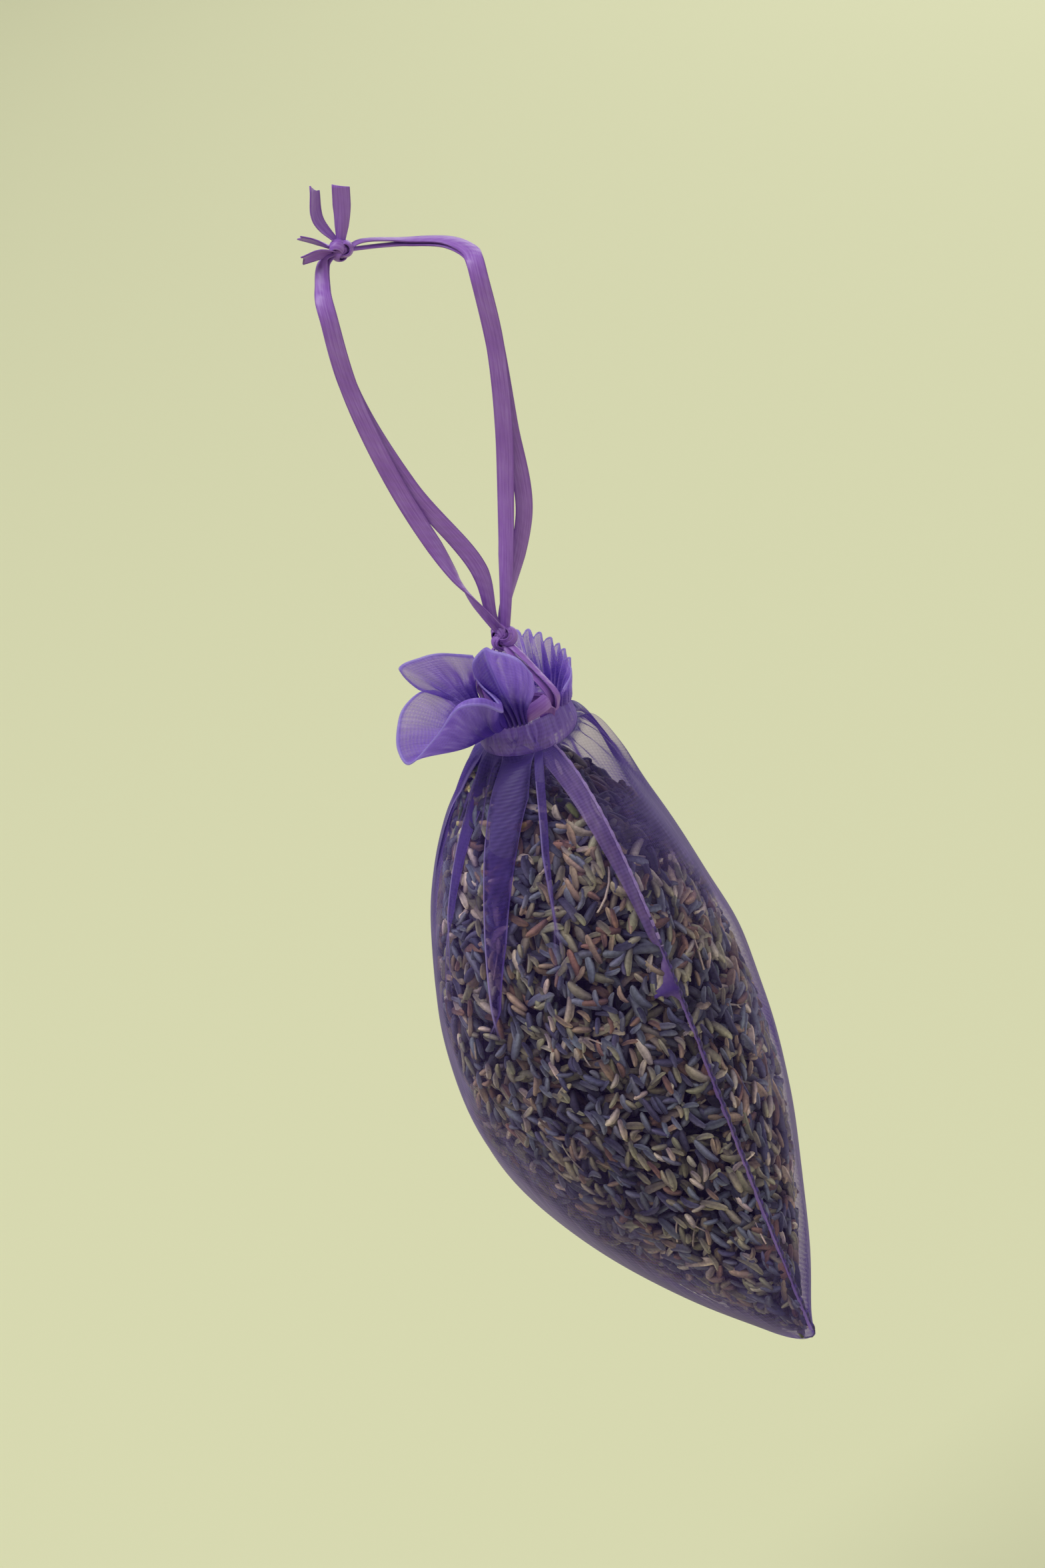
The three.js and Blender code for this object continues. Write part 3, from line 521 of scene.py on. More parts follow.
def even_pairs(count, seed):
    """Pairs of numbers from 0 to 1 that fill a square evenly: steps of the plastic number, wrapped."""
    steps = np.arange(1, count + 1)[:, None] * np.array([0.7548776662, 0.5698402910])
    return (steps + 0.5 * seed) % 1


# Three layers of buds under the cloth: how many are tried, how deep they lie and how unevenly
BUD_LAYERS = ((7000, 1.15, 0.3), (6600, 2.5, 0.6), (4200, 4.2, 0.8))
CLOTH_WOBBLE, HEAP_WOBBLE = 10.0, 24.0
chance = np.random.default_rng(7)
walls = []
for tries, depth, loose in BUD_LAYERS:
    for side in (-1.0, 1.0):
        pair = even_pairs(tries, depth + side)
        angle, v = np.pi * pair[:, 0], 0.02 + 0.975 * pair[:, 1]
        normal, area = wall_normal(np.full(tries, side), angle, v)
        slack = 0.5 * np.clip((v - 0.8) / 0.16, 0, 1) * np.clip((angle - 0.3) / 0.6, 0, 1)
        if side > 0:
            slack = slack + np.clip((v - 0.3) / 0.2, 0, 1) * np.clip((angle - 0.35) / 0.5, 0, 1)
        half_depth = crown_line(side, v)[0] * np.sin(angle)
        inset = np.minimum(depth + slack + loose * chance.normal(0, 0.5, tries), 0.95 * half_depth + 0.05)
        place = pouch_wall(side, angle, v) - normal * inset[:, None]
        place[:, 0] -= 1.6 * np.cos(angle) * np.clip(1 - half_depth / 3, 0, 1)
        place[:, 2] += 0.8 * np.clip((v - 0.9) / 0.1, 0, 1)
        kept = (
            (chance.random(tries) < area / area.max() * np.interp(v, (0.3, 0.45), (0.9, 0.62)))
            & (heap_top(place) < -0.6) & (side * place[:, 1] > -0.1) & (half_depth > 0.25)
        )
        # Painted light and shade: each layer's bud tints are scaled, up in the first layer and down in the
        # deeper ones, as painted shade among the buds
        number, light = kept.sum(), max(1.6 - 0.38 * depth, 0.15)
        walls.append((place[kept], normal[kept], np.full(number, CLOTH_WOBBLE), np.full(number, light)))

# Buds on the sloping top of the heap, inside the rim where it meets the cloth, their tints darkened by
# TOP_LIGHT as painted shade under the cloth
TOP_BUDS, RIM_STEPS, TOP_LIGHT = 420, 240, 0.25
rim_angle = np.linspace(0, 2 * np.pi, RIM_STEPS + 1)[:-1]
rims = wall_all_round(rim_angle[:, None], np.linspace(0, 0.6, 121)[None, :])
rim = rims[np.arange(RIM_STEPS), np.argmax(heap_top(rims) < 0, axis=1)]
middle = rim.mean(0)
pair = even_pairs(TOP_BUDS, 0.3)
spot = middle + np.sqrt(pair[:, :1]) * 0.93 * (rim[(pair[:, 1] * RIM_STEPS).astype(int)] - middle)
spot[:, 2] -= heap_top(spot) + 0.6 - chance.normal(0, 0.7, TOP_BUDS)
up_slope = np.broadcast_to(unit(HEAP_SLOPE * loop_right + plumb), spot.shape)
walls.append((spot, up_slope, np.full(TOP_BUDS, HEAP_WOBBLE), np.full(TOP_BUDS, TOP_LIGHT)))

place, outward, wobble, painted_light = (np.concatenate(parts) for parts in zip(*walls))
count = len(place)
drift = np.sin(place @ np.array([0.13, 0.05, 0.21]) + 1)
drift = drift + 1.3 * np.sin(place @ np.array([0.06, 0.17, -0.12]))
yaw = 1.5 * drift + chance.normal(0, 0.6, count) + np.pi * chance.integers(0, 2, count)
first = unit(np.cross(outward, np.array([0.31, 0.2, 0.93])))
second = np.cross(outward, first)
pitch = np.radians(np.clip(chance.normal(0, 1, count), -2, 2) * wobble)[:, None]
stalk = chance.random(count) < 0.016
length = np.where(stalk, chance.uniform(6.5, 10, count), np.clip(chance.normal(4.9, 0.6, count), 3.7, 6.4))
girth = np.where(stalk, chance.uniform(0.45, 0.7, count), np.clip(chance.normal(1.62, 0.18, count), 1.2, 2.1))
curl = chance.normal(0.2, 0.35, count)


def bud_lie(yaw, size):
    """How buds of a size share lie when turned by the yaw on the cloth: the level way, the axis tipped by
    the pitch, and how far out the farther end of each comes, as a share of the way to the wall."""
    level = first * np.cos(yaw)[:, None] + second * np.sin(yaw)[:, None]
    lie = level * np.cos(pitch) + outward * np.sin(pitch)
    half, skin = 0.47 * size * length[:, None] * lie, 0.3 * size * girth[:, None] * outward
    return level, lie, np.maximum(share_of_wall(place + half + skin), share_of_wall(place - half + skin))


# A bud that would poke through the cloth beside a seam lies another way, or is a small one. One that still
# would, or that lies up in the neck, is left out.
SMALL_BUD, NECK_ROOM = 0.65, 3.5
flat_way, axis, farthest = bud_lie(yaw, 1.0)
size = np.ones(count)
for other_size, turns in ((1, (90, 45, 135)), (SMALL_BUD, (0, 90, 45, 135))):
    for turn in turns:
        other_way, other_axis, other_reach = bud_lie(yaw + np.radians(turn), other_size)
        better = (farthest > 0.98) & (other_reach < farthest)
        flat_way = np.where(better[:, None], other_way, flat_way)
        axis = np.where(better[:, None], other_axis, axis)
        farthest, size = np.where(better, other_reach, farthest), np.where(better, other_size, size)
within = (farthest < 0.99) & (place[:, 2] < PANEL_TOP - NECK_ROOM)
place, outward, flat_way, axis = place[within], outward[within], flat_way[within], axis[within]
length, girth, curl = (size * length)[within], (size * girth)[within], (size * curl)[within]
stalk, painted_light = stalk[within], painted_light[within]
count = len(place)
beside = np.cross(outward, flat_way)
over = np.cross(axis, beside)

RING_PLACES = np.array([0, 0.1, 0.34, 0.66, 0.9, 1.0])
RING_SIZES = np.array([0.34, 0.72, 1.0, 0.95, 0.74, 0.46])
ROD_SIDES = 6
BUD_POINTS = ROD_SIDES * len(RING_PLACES)


def bud_points(rows):
    """Calyxes: six rings of six points along each bud's axis, wide in the middle and tapered to the
    stalk, bowed sideways by the square of the distance from the middle."""
    t = RING_PLACES[None, :, None, None]
    turn = (2 * np.pi * np.arange(ROD_SIDES) / ROD_SIDES)[None, None, :, None]
    size = np.where(stalk[rows, None], 0.8, RING_SIZES[None, :])[:, :, None, None]
    ring = beside[rows, None, None] * np.cos(turn) + over[rows, None, None] * np.sin(turn)
    bow = curl[rows, None, None, None] * (2 * t - 1) ** 2
    return (
        place[rows, None, None]
        + axis[rows, None, None] * (t - 0.5) * length[rows, None, None, None]
        + ring * size * girth[rows, None, None, None] / 2
        + beside[rows, None, None] * bow
    )


def wrapped(numbers):
    """Point numbers of a grid with its first column again at the end, so that the faces close round."""
    return np.concatenate([numbers, numbers[:, :1]], 1)


def rod_faces(rings):
    """Faces of a six-sided rod: bands between the rings, and two four-cornered faces on each end."""
    number = np.arange(ROD_SIDES * rings).reshape(-1, ROD_SIDES)
    first, last = number[0], number[-1]
    ends = [first[[3, 2, 1, 0]], first[[5, 4, 3, 0]], last[[0, 1, 2, 3]], last[[0, 3, 4, 5]]]
    return np.concatenate([grid_faces(wrapped(number)), ends])


# Dried lavender calyx: a matte, finely hairy husk, speckled at about 0.7 mm. Most are slate blue to violet
# grey, some have faded to olive, tan or straw, and the end at the stalk is paler than the mouth.
lavender, add_node = new_material("dried_lavender")
tint = add_node("Attribute", attribute_name="bud_tint")
marks = add_node("Attribute", attribute_name="bud_marks").outputs["Vector"]
ridge, along, _ = add_node("SeparateXYZ", {0: marks}).outputs
in_metres = add_node("TexCoord").outputs["Object"]
in_millimetres = add_node("Mapping", {"Vector": in_metres, "Scale": (1000, 1000, 1000)})
speckle = add_node("TexNoise", {"Vector": in_millimetres, "Scale": 1.5, "Detail": 4.0, "Roughness": 0.65})
fading = add_node("ValToRGB", {0: along})
blended_stops(fading.color_ramp, [(0.0, "#f2ead2"), (0.3, "#e6dfd0"), (0.75, "#bfb8b6"), (1.0, "#968e96")])
tinted = add_node(
    "Mix", {0: 1.0, 6: tint, 7: fading}, data_type="RGBA", blend_type="MULTIPLY"
).outputs[2]
# Painted shade and highlight: the rib marks darken each bud's grooves and lighten its ridges
painted_rib_shade = add_node("MapRange", {0: ridge, 1: 0.0, 2: 1.0, 3: 0.6, 4: 1.3})
patch = add_node("MapRange", {0: speckle, 1: 0.3, 2: 0.7, 3: 0.7, 4: 1.25})
shade = add_node("Math", {0: painted_rib_shade, 1: patch}, operation="MULTIPLY")
husk = add_node("VectorMath", {0: tinted, "Scale": shade}, operation="SCALE")
rough = add_node("Bump", {"Strength": 0.5, "Distance": 0.0002, "Height": speckle})
surface = add_node("BsdfPrincipled", {
    "Base Color": husk, "Roughness": 0.78, "Normal": rough, "Specular IOR Level": 0.35,
    "Sheen Weight": 0.15, "Sheen Roughness": 0.5, "Sheen Tint": linear("#cfc8e0"),
})
add_node("OutputMaterial", {"Surface": surface})

BUD_COLOURS = (
    ("#8a98a8", 0.28), ("#686e8c", 0.16), ("#b8bd9c", 0.25),
    ("#c0b094", 0.12), ("#a08472", 0.07), ("#ece8d2", 0.12),
)
STRAW = 5
BUDS_PER_PIECE = 2800
palette = np.array([linear(colour)[:3] for colour, _ in BUD_COLOURS])
drawn = chance.choice(len(BUD_COLOURS), count, p=[share for _, share in BUD_COLOURS])
drawn = np.where(stalk, STRAW, drawn)
tints = palette[drawn] * chance.uniform(0.7, 1.25, (count, 1)) * chance.uniform(0.95, 1.05, (count, 3))
# The tints carry the painted light and shade of each layer and of the heap top
tints = np.concatenate([tints * painted_light[:, None], np.ones((count, 1))], 1)
# Rib marks, 0 and 1 round each bud, for the painted rib shade and highlight
ring_marks = marks_of((np.arange(ROD_SIDES) % 2)[None, :], RING_PLACES[:, None], 0.0).reshape(-1, 3)
loose_buds = [f"lavender_bud_{k}" for k in range(1, 13)]
for number, rows in enumerate(np.array_split(chance.permutation(count), math.ceil(count / BUDS_PER_PIECE))):
    starts = BUD_POINTS * np.arange(len(rows))[:, None, None]
    heap = (bud_points(rows), (rod_faces(len(RING_PLACES))[None] + starts).reshape(-1, 4))
    piece_of(
        f"lavender_buds_{number + 1}", heap, lavender, "lavender", "pouch", loose_buds if number == 0 else (),
        bud_tint=np.repeat(tints[rows], BUD_POINTS, axis=0), bud_marks=np.tile(ring_marks, (len(rows), 1)),
    )


# The inside of the heap: the buds behind the first few layers, too deep to be seen one by one, are one
# lumpy body a few millimetres inside the cloth, with a grain of 2.4 mm, painted near black as painted shade.
CORE_HALF, CORE_INSET, CORE_BELOW_TOP = 60, 4.4, 1.8
core_v = np.linspace(0.02, 0.92, 60)[:, None]
inner = wall_all_round(np.linspace(0, 2 * np.pi, 2 * CORE_HALF + 1)[None, :], core_v)
core_middle = np.stack([0 * core_v, 0 * core_v, inner[..., 2].mean(1, keepdims=True)], -1)
flat = inner - core_middle
reach = np.linalg.norm(flat[..., :2], axis=-1, keepdims=True)
core = core_middle + flat * np.clip(1 - CORE_INSET / np.maximum(reach, 4.5), 0.02, 1) * (1, 1, 0.9)
core[..., 2] -= np.maximum(heap_top(core) + CORE_BELOW_TOP, 0)
core = core[:, :-1]
number = numbered(core)
near, far = number[:, :CORE_HALF], number[:, :CORE_HALF - 1:-1]
lid = np.stack([near[:, :-1], near[:, 1:], far[:, 1:], far[:, :-1]], -1)
core_faces = np.concatenate([grid_faces(wrapped(number)), lid[0, :, ::-1], lid[-1]])
inside, add_node = new_material("lavender_shade")
in_metres = add_node("TexCoord").outputs["Object"]
in_buds = add_node("Mapping", {"Vector": in_metres, "Scale": (420, 420, 420)})
grain = add_node("TexVoronoi", {"Vector": in_buds, "Scale": 1.0}).outputs["Distance"]
gloom = add_node("ValToRGB", {0: grain})
blended_stops(gloom.color_ramp, [(0.1, "#1c1932"), (0.5, "#110e24"), (0.9, "#090718")])
surface = add_node("BsdfPrincipled", {"Base Color": gloom, "Roughness": 0.9, "Specular IOR Level": 0.1})
add_node("OutputMaterial", {"Surface": surface})
piece_of("lavender_inside", (core, core_faces), inside, "lavender", "pouch", ["lavender_fill"])


# Pouch panels: a front and a back cut of organza, 100 mm wide, pulled together at the neck. The spare
# width lies in pressed folds that overlap threefold near the neck and run out on the filled part,
# with small gathers between them. The cloth is so sheer that mostly its folds and edges are seen.

YARN_SPACING = 0.8


def organza_of(name, cover, lit, deep="#4f26a6", sheen=0.4):
    """Organza: a plain weave of fine, shiny filament yarns with open gaps between them. Square on, yarns
    cover only a small share of it. Seen along the cloth each yarn hides more, so the cover of the thicker
    cross yarns is divided by the cosine of the angle of sight to the power 1.6, for yarns that stand proud
    of the weave. Light through the gaps stays straight, and the yarns both reflect light and let it glow
    through. Where many layers are gathered up, they add to the cover and the colour deepens. Along pressed
    fold edges, frill rims and the petal crease a painted highlight adds cover and a pale violet. The real
    yarns lie 0.15 mm apart, and are drawn 0.8 mm apart so that they show. Slubs, thicker stretches of
    yarn, are about 1 mm wide and 8 mm long."""
    material, add_node = new_material(name)
    cloth = add_node("Attribute", attribute_name="cloth_mm").outputs["Vector"]
    warp, weft = (
        add_node("TexWave", {
            "Vector": cloth, "Scale": BAND_SPACING / YARN_SPACING, "Distortion": 0.5, "Detail": 1.0,
        }, bands_direction=way).outputs["Fac"] for way in ("X", "Y")
    )
    stretched = add_node("Mapping", {"Vector": cloth, "Scale": (0.9, 0.12, 1)})
    slubs = add_node("TexNoise", {"Vector": stretched, "Scale": 1.0, "Detail": 2.0})
    weave = add_node("Math", {0: warp, 1: weft}, operation="ADD")
    weave = add_node("Math", {0: slubs, 1: 0.7, 2: weave}, operation="MULTIPLY_ADD")
    yarn = add_node("MapRange", {0: weave, 1: 0.5, 2: 2.2, 3: 0.8 * cover, 4: 1.2 * cover})
    layers = add_node("SeparateXYZ", {0: cloth}).outputs[2]
    yarn = add_node("Math", {0: yarn, 1: layers}, operation="MULTIPLY", use_clamp=True)
    # Painted highlight mask: pressed fold edges, frill rims and the petal crease
    pressed = add_node("Attribute", attribute_name="cloth_edge").outputs["Fac"]
    yarn = add_node("Math", {0: pressed, 1: 0.3, 2: yarn}, operation="MULTIPLY_ADD", use_clamp=True)
    grazing = add_node("LayerWeight", {"Blend": 0.5}).outputs["Facing"]
    square = add_node("Math", {0: 1.0, 1: grazing}, operation="SUBTRACT")
    square = add_node("Math", {0: square, 1: 1.6}, operation="POWER")
    flat_yarn = add_node("Math", {0: yarn, 1: 2.0}, operation="MULTIPLY")
    hidden = add_node("Math", {0: flat_yarn, 1: square}, operation="DIVIDE", use_clamp=True)
    open_along = add_node("Math", {0: 1.0, 1: yarn}, operation="SUBTRACT")
    open_across = add_node("Math", {0: 1.0, 1: hidden}, operation="SUBTRACT")
    gaps = add_node("Math", {0: open_along, 1: open_across}, operation="MULTIPLY")
    relief = add_node("Bump", {"Strength": 0.25, "Distance": 0.0001, "Height": weave})
    tone = add_node("ValToRGB", {0: slubs})
    blended_stops(tone.color_ramp, lit)
    depth = add_node("MapRange", {0: layers, 1: 1.8, 2: 5.0, 3: 0.0, 4: 0.85})
    dyed = add_node("Mix", {0: depth, 6: tone, 7: linear(deep)}, data_type="RGBA").outputs[2]
    # Painted highlight: the edge mask mixes in a pale violet
    dyed = add_node("Mix", {0: pressed, 6: dyed, 7: linear("#bba6f2")}, data_type="RGBA").outputs[2]
    yarns = add_node("BsdfPrincipled", {
        "Base Color": dyed, "Roughness": 0.42, "Normal": relief, "IOR": 1.55,
        "Sheen Weight": sheen, "Sheen Roughness": 0.3, "Sheen Tint": linear("#d8c6f5"),
    })
    glow = add_node("BsdfTranslucent", {"Color": dyed})
    threads = add_node("MixShader", {0: 0.5, 1: yarns, 2: glow})
    through = add_node("BsdfTransparent", {"Color": linear("#f3edfc")})
    sheer = add_node("MixShader", {0: gaps, 1: threads, 2: through})
    add_node("OutputMaterial", {"Surface": sheer})
    return material


# Painted shade: the panels get darker yarn colours than the frills and casings of the same organza
shaded_panel_organza = organza_of(
    "violet_organza", 0.025, [(0.3, "#5f47a6"), (0.55, "#7459b8"), (0.75, "#957ad2")],
    deep="#7c64c0", sheen=0.5,
)
PANEL_WIDTH, PANEL_LENGTH = 100.0, 118.0
# EDGE_WIDTH is how wide the painted highlight along each fold edge is, as a share of the cloth's width
FOLD_REACH, FOLD_TURN, EDGE_WIDTH = 0.1, 0.035, 0.0035

# Each fold: where its edge lies, in degrees from the right seam, at the neck, at a fifth and at half of the
# way down, then how wide it overlaps, in millimetres, at 0, 0.09, 0.2, 0.31 and 0.46 of the way down.
FRONT_FOLDS = (
    ((27, 34, 36), (1.6, 1.2, 1.0, 0.8, 0)),
    ((68, 68, 69), (6.0, 7.2, 5.5, 4.2, 0)),
    ((100, 97, 92), (3.0, 3.4, 2.2, 0.6, 0)),
    ((138, 134, 130), (4.0, 5.0, 3.4, 1.5, 0)),
)
BACK_FOLDS = (
    ((104, 102, 100), (3.0, 3.2, 2.4, 1.0, 0)),
    ((146, 144, 142), (3.0, 3.2, 2.0, 0.6, 0)),
)


def ease(low, high, x):
    """0 below low, 1 above high, and 3t^2 - 2t^3 between them."""
    t = np.clip((x - low) / (high - low), 0, 1)
    return t * t * (3 - 2 * t)


def hump(x, middle, width):
    """A bell curve: e to the power of minus the square of the distance from its middle, in widths."""
    return np.exp(-(((x - middle) / width) ** 2))


def panel_surface(side, folds, columns=481, rows=173):
    """A gathered cloth: a share c of its width lies at the angle 180 c degrees, and each fold adds a
    zigzag to the angle, on to its edge and back under it, as wide as the overlap asks, while the cloth
    on top stands off by two thicknesses. Small gathers are cosine waves in the width, deep at the neck.
    The mesh's columns keep to the fold edges on their way down, so that the edges run clean."""
    v = (np.linspace(0, 1, rows) ** 1.25)[:, None]
    radius = (bezier(SEAM_CURVE, v)[..., 0] + crown_line(side, v)[0]) / 2
    pleats = []
    for edge_degrees, widths in folds:
        edge = np.radians(np.interp(v, (0, 0.2, 0.5), edge_degrees))
        overlap = np.interp(v, (0, 0.09, 0.2, 0.31, 0.46), widths) / np.maximum(radius, 1)
        shown = ease(0.0, 0.06, overlap)
        swing = (overlap + np.pi * FOLD_TURN * shown) / 2
        pleats.append(((edge - swing) / np.pi + FOLD_TURN / 2, swing, shown))
    brinks = [at + half for at, _, _ in pleats for half in (-FOLD_TURN / 2, FOLD_TURN / 2)]
    brinks = np.concatenate([0 * v, *brinks, 0 * v + 1], 1)
    kept_columns = np.round(brinks.mean(0) * (columns - 1))
    c = np.stack([np.interp(np.arange(columns), kept_columns, row) for row in brinks])
    angle = np.pi * c
    lift, under, edge_shine = 0 * angle, 0 * angle, 0 * angle
    for at, swing, shown in pleats:
        rising = ease(at - FOLD_REACH, at - FOLD_TURN / 2, c)
        turning = ease(at - FOLD_TURN / 2, at + FOLD_TURN / 2, c)
        settling = ease(at + FOLD_TURN / 2, at + FOLD_REACH, c)
        angle = angle + swing * (rising - 2 * turning + settling)
        lift = lift + shown * (0.75 * rising * (1 - turning) + 0.15 * turning * (1 - settling))
        under = np.maximum(under, shown * ease(0.02, 0.25, turning) * ease(0.02, 0.25, 1 - turning))
        # Painted highlight: a narrow mask along both edges of each fold
        for brink in (at - FOLD_TURN / 2, at + FOLD_TURN / 2):
            edge_shine = np.maximum(edge_shine, shown * hump(c, brink, EDGE_WIDTH))
    phase = 0.7 * np.sin(7 * c + side) + 0.4 * np.sin(17 * c)
    held = np.sin(np.pi * c) ** 0.5
    fine = 0.62 * ease(0, 0.03, v) * (1 - ease(0.03, 0.17, v)) * np.cos(2 * np.pi * 14 * c + 3 * phase)
    broad = 0.75 * (1 - ease(0.03, 0.42, v)) * ease(0, 0.04, v) * np.cos(2 * np.pi * 6 * c + 4 * phase)
    bulges = 0.3 * ease(0.4, 0.55, v) * np.sin(31 * c + 9 * v) * np.sin(23 * v + 4 * c)
    slack = 1.6 * ease(0.8, 0.95, v)
    if side > 0:
        shoulder = 1.7 * hump(v, 0.05, 0.07) + 0.8 * hump(v, 0.14, 0.05)
        creases = np.sin(np.pi * c) * (shoulder + hump(v, 0.45, 0.06))
        sag = 1.4 * hump(v, 0.87, 0.11) * hump(c, 0.12, 0.1)
        strength, most = 0.1, 1.4
        drawn_up = 7.0 * (1 - ease(0.005, 0.035, v)) + 2.4 * hump(v, 0.25, 0.09)
    else:
        creases = 0 * c
        sag = 1.5 * hump(v, 0.92, 0.08) * hump(c, 0.27, 0.2)
        strength, most = 1.0, 2.5
        drawn_up = 6.5 * (1 - ease(0.01, 0.1, v)) + 0.2 * (1 - ease(0.15, 0.45, v))
        slack = slack + 0.8 * ease(0.5, 0.75, v) * ease(0.15, 0.35, c)
    angle = np.clip(angle, 0, np.pi)
    normal, _ = wall_normal(np.full(angle.shape, float(side)), angle, np.clip(v + 0 * c, 0.002, 0.996))
    waves = fine + broad + creases + bulges * np.sin(np.pi * v)
    away = (lift * ease(0, 0.03, v) + held * waves + sag) * ease(0, 0.04, np.minimum(c, 1 - c))
    points = pouch_wall(side, angle, v + 0 * c) + normal * away[..., None]
    lying = np.linalg.norm(np.diff(points, axis=1), axis=-1).sum(1)[:, None]
    layers = np.clip(PANEL_WIDTH / lying, 1, most) + drawn_up + slack
    layers = layers + strength * np.interp(v, (0.05, 0.2, 0.35), (13, 8, 1.5)) * under
    marks = marks_of(c * PANEL_WIDTH, v * PANEL_LENGTH, layers)
    return points, marks, np.repeat(strength * edge_shine[..., None], 3, -1)


def facing_out(points, side):
    """Faces of a cloth on one half of the pouch, turned over on the back, so that they point outwards."""
    faces = grid_faces(numbered(points))
    return faces if side < 0 else faces[:, ::-1]


panels, panel_tops = [], []
for name, side, folds in (("front_panel", -1.0, FRONT_FOLDS), ("back_panel", 1.0, BACK_FOLDS)):
    points, marks, edge_shine = panel_surface(side, folds)
    panels.append(piece_of(
        f"{name}_cloth", (points, facing_out(points, side), marks), shaded_panel_organza, "organza", "pouch", [name],
        cloth_edge=edge_shine,
    ))
    panel_tops.append((marks[0, :, 0] / PANEL_WIDTH, points[0]))


# Casings: above each panel the cloth is stitched into a channel for the drawstrings. Drawn up, it lies
# in tight gathers that bulge between the two rows of stitches, and below them it runs on into the panel.

CASING_RADIUS, CASING_DEPTH = 8.15, 5.8
# Painted light: the casings and frills, the same organza doubled, get paler yarn colours than the panels
lit_frill_organza = organza_of(
    "violet_organza_doubled", 0.13, [(0.3, "#9a76dc"), (0.55, "#b08eec"), (0.75, "#cab2f8")], deep="#4c1cb0",
)
for (name, side), (top_c, top) in zip((("front_casing", -1.0), ("back_casing", 1.0)), panel_tops):
    c = np.linspace(0, 1, 301)[None, :]
    h = np.linspace(0, 1, 33)[:, None]
    angle = np.radians(-0.5 + 181 * c)
    bulge = np.sin(np.pi * h) ** 0.7
    gathers = np.cos(2 * np.pi * 17 * c + 2.6 * np.sin(9 * c + side) + 0.8 * h) * np.sin(np.pi * c) ** 0.4
    uneven = 0.65 + 0.35 * np.sin(23 * c + 2 * side)
    r = CASING_RADIUS + 0.45 * bulge + 0.36 * uneven * gathers * (0.45 + 0.55 * bulge)
    level = CASING_TOP + 0.3 - CASING_DEPTH * h + 0 * angle
    points = np.stack([r * np.cos(angle), side * r * np.sin(angle), level], -1)
    meeting = np.stack([np.interp(c[0], top_c, column) for column in top.T], -1)
    points = points + ease(0.3, 1, h)[..., None] * (meeting - points[-1])
    layers = 2.6 - ease(0.35, 1, h) + 1.3 * hump(c, 0.5, 0.12)
    mesh = (points, facing_out(points, side), marks_of(c * PANEL_WIDTH, -h * 6, layers))
    piece_of(f"{name}_cloth", mesh, lit_frill_organza, "organza", "pouch", [name])


# Frills: the header of each panel, folded double, stands above the casing and opens into lobes. In front
# it turns out and rolls over like petals, and at the back it stands up, crinkled.
# Each entry is a point of the free edge, from slit to slit: angles of the cloth at the casing and at the
# edge, from the front towards the right seam, how far out and up the edge lies, how the cloth leans at the
# casing and at the edge, in degrees, and how long it keeps that lean, as a share of the cloth.

FRONT_LOBES = np.array([
    (64, 74, 7.6, 11.6, 60, 95, 0.3), (61, 69, 6.6, 14.4, 65, 105, 0.3), (57, 59.5, 4.6, 15.6, 65, 112, 0.32),
    (53, 46, 3.6, 16.1, 70, 108, 0.32), (49, 31, 3.4, 14.4, 75, 95, 0.3), (45, 30, 3.2, 10.6, 70, 70, 0.25),
    (41, 44, 4.6, 7.4, 45, 10, 0.2), (37, 50, 7.4, 6.0, 10, -60, 0.25), (32, 41, 9.0, 8.4, -8, -60, 0.27),
    (27, 28, 10.3, 8.6, -20, -50, 0.25), (21, 15, 12.8, 4.2, -28, -35, 0.22),
    (15, 4, 16.8, 0.3, -28, -10, 0.25), (9, -4, 16.3, 2.0, -12, 5, 0.3), (3, -14, 14.0, 4.3, 5, 15, 0.32),
    (-4, -18, 12.0, 6.5, 15, 20, 0.3), (-11, -23, 8.2, 7.8, 40, 30, 0.25), (-18, -27, 5.6, 6.8, 60, 35, 0.2),
    (-23, -18, 8.4, 9.0, 60, 38, 0.25), (-29, -14, 11.0, 14.3, 62, 42, 0.32),
    (-37, -30, 6.6, 13.2, 65, 52, 0.3), (-46, -50, 4.2, 11.4, 70, 62, 0.3), (-55, -64, 2.4, 9.8, 75, 68, 0.3),
    (-64, -80, 1.8, 8.2, 78, 72, 0.3),
])
BACK_LOBES = np.array([
    (116, 112, 2.0, 3.8, 70, 60, 0.2), (130, 131, 2.0, 4.5, 72, 72, 0.2), (146, 147, 1.8, 5.1, 75, 73, 0.2),
    (164, 164, 1.7, 6.2, 75, 77, 0.2), (182, 183, 1.5, 7.6, 75, 77, 0.2), (200, 201, 1.5, 8.8, 75, 76, 0.2),
    (218, 219, 1.7, 9.6, 75, 72, 0.2), (236, 238, 2.3, 9.4, 70, 62, 0.2), (251, 254, 3.0, 8.2, 70, 55, 0.2),
])
FRILL_ROOT, NECK_RADIUS, FRILL_HALF_THICK = -79.3, 8.2, 0.15
PETAL_PLEAT = 0.15


def outward_at(angle):
    """Level direction at an angle from the front towards the right seam."""
    return np.stack([np.sin(angle), -np.cos(angle), 0 * angle], -1)


def leaning(outward, angle):
    """A direction tipped up by the angle from a level one."""
    return outward * np.cos(angle)[..., None] + plumb * np.sin(angle)[..., None]


